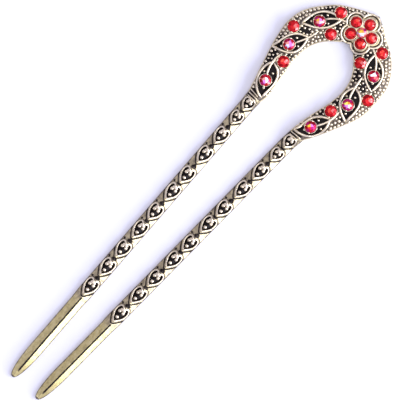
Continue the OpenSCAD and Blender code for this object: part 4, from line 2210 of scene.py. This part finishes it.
@dataclass
class Studio:
    """White sweep, a long-lens camera straight above and soft boxes."""

    picture_mm: float = 97.4
    # Where the model's zero falls in the picture, and the picture's width
    middle_px: Point = (202.3, 202.6)
    frame_px: float = 400.0
    roll: float = 47.3
    distance: float = 1.0
    sensor_mm: float = 36.0
    clip: Point = (0.01, 20.0)
    sweep_reach: float = 2.0
    world_colour: str = "#E2E0FF"
    world_strength: float = 0.82
    boxes: tuple[SoftBox, ...] = (
        SoftBox("key_box", (0.33, -0.67, 0.37), (1.02, 0.5), 6.4, "#EBF0FF"),
        SoftBox("top_box", (0.0, -0.15, 1.5), (1.0, 1.0), 1.6, "#FFFFFF"),
    )

    def camera(self) -> None:
        """Camera straight above, rolled as in the photograph."""
        data = bpy.data.cameras.new("studio_camera")
        data.sensor_width = self.sensor_mm
        data.lens = self.sensor_mm * self.distance / (self.picture_mm * MM)
        data.clip_start, data.clip_end = self.clip
        roll = math.radians(self.roll)
        right = Vector((math.cos(roll), -math.sin(roll), 0))
        up = Vector((math.sin(roll), math.cos(roll), 0))
        step = self.picture_mm * MM / self.frame_px
        middle = self.frame_px / 2
        aim = (right * (middle - self.middle_px[0]) + up * (self.middle_px[1] - middle)) * step
        toward = right.cross(up)
        place = Matrix((right, up, toward)).transposed().to_4x4()
        place.translation = aim + toward * self.distance
        camera = linked("studio_camera", data)
        camera.matrix_world = place
        bpy.context.scene.camera = camera

    def build(self) -> None:
        """Set up the floor, the world, the lights and the camera."""
        corners = ((-1, -1, 0), (1, -1, 0), (1, 1, 0), (-1, 1, 0))
        floor = mesh_object("sweep", np.array(corners) * self.sweep_reach / MM, [range(4)])
        floor.data.materials.append(MattSweep().build())
        world = bpy.data.worlds.new("soft_room")
        world.use_nodes = True
        shade = world.node_tree.nodes["Background"]
        shade.inputs["Color"].default_value = hex_linear(self.world_colour)
        shade.inputs["Strength"].default_value = self.world_strength
        bpy.context.scene.world = world
        for box in self.boxes:
            box.hang()
        view = bpy.context.scene.view_settings
        view.view_transform = "Standard"
        view.look = "None"
        self.camera()


# Assembly


# Seed of the first stone's sparkle; each further stone takes the next number
FIRST_SEED = 100


def build_stones(stones: Sequence[StoneFrame]) -> None:
    """Cut every stone and set it in place of its solid.

    Args:
        stones: The stones' frames.
    """
    glass = FoiledGlass().build()
    for number, stone in enumerate(stones):
        CutStone(stone).build(glass, Sparkle(stone, FIRST_SEED + number))


def main() -> None:
    """Build the body, the ornament, the stones and the studio, and note the sizes."""
    logging.basicConfig(level=logging.INFO, format="%(message)s")
    brass = AntiqueBrass().build()
    stones = stone_frames()
    body, hearts, ornament = ForkBody(), Hearts(), Ornament(stones)
    ground, floor, arch = body.build(Relief(stones), brass)
    hearts.cast_bands(ground, brass)
    ornament.cast_bands(ground, brass)
    ornament.cast_collars(brass)
    hearts.cast_dots(ground, brass)
    ornament.cast_beads(floor, arch, brass)
    build_stones(stones)
    Studio().build()


if __name__ == "__main__":
    main()
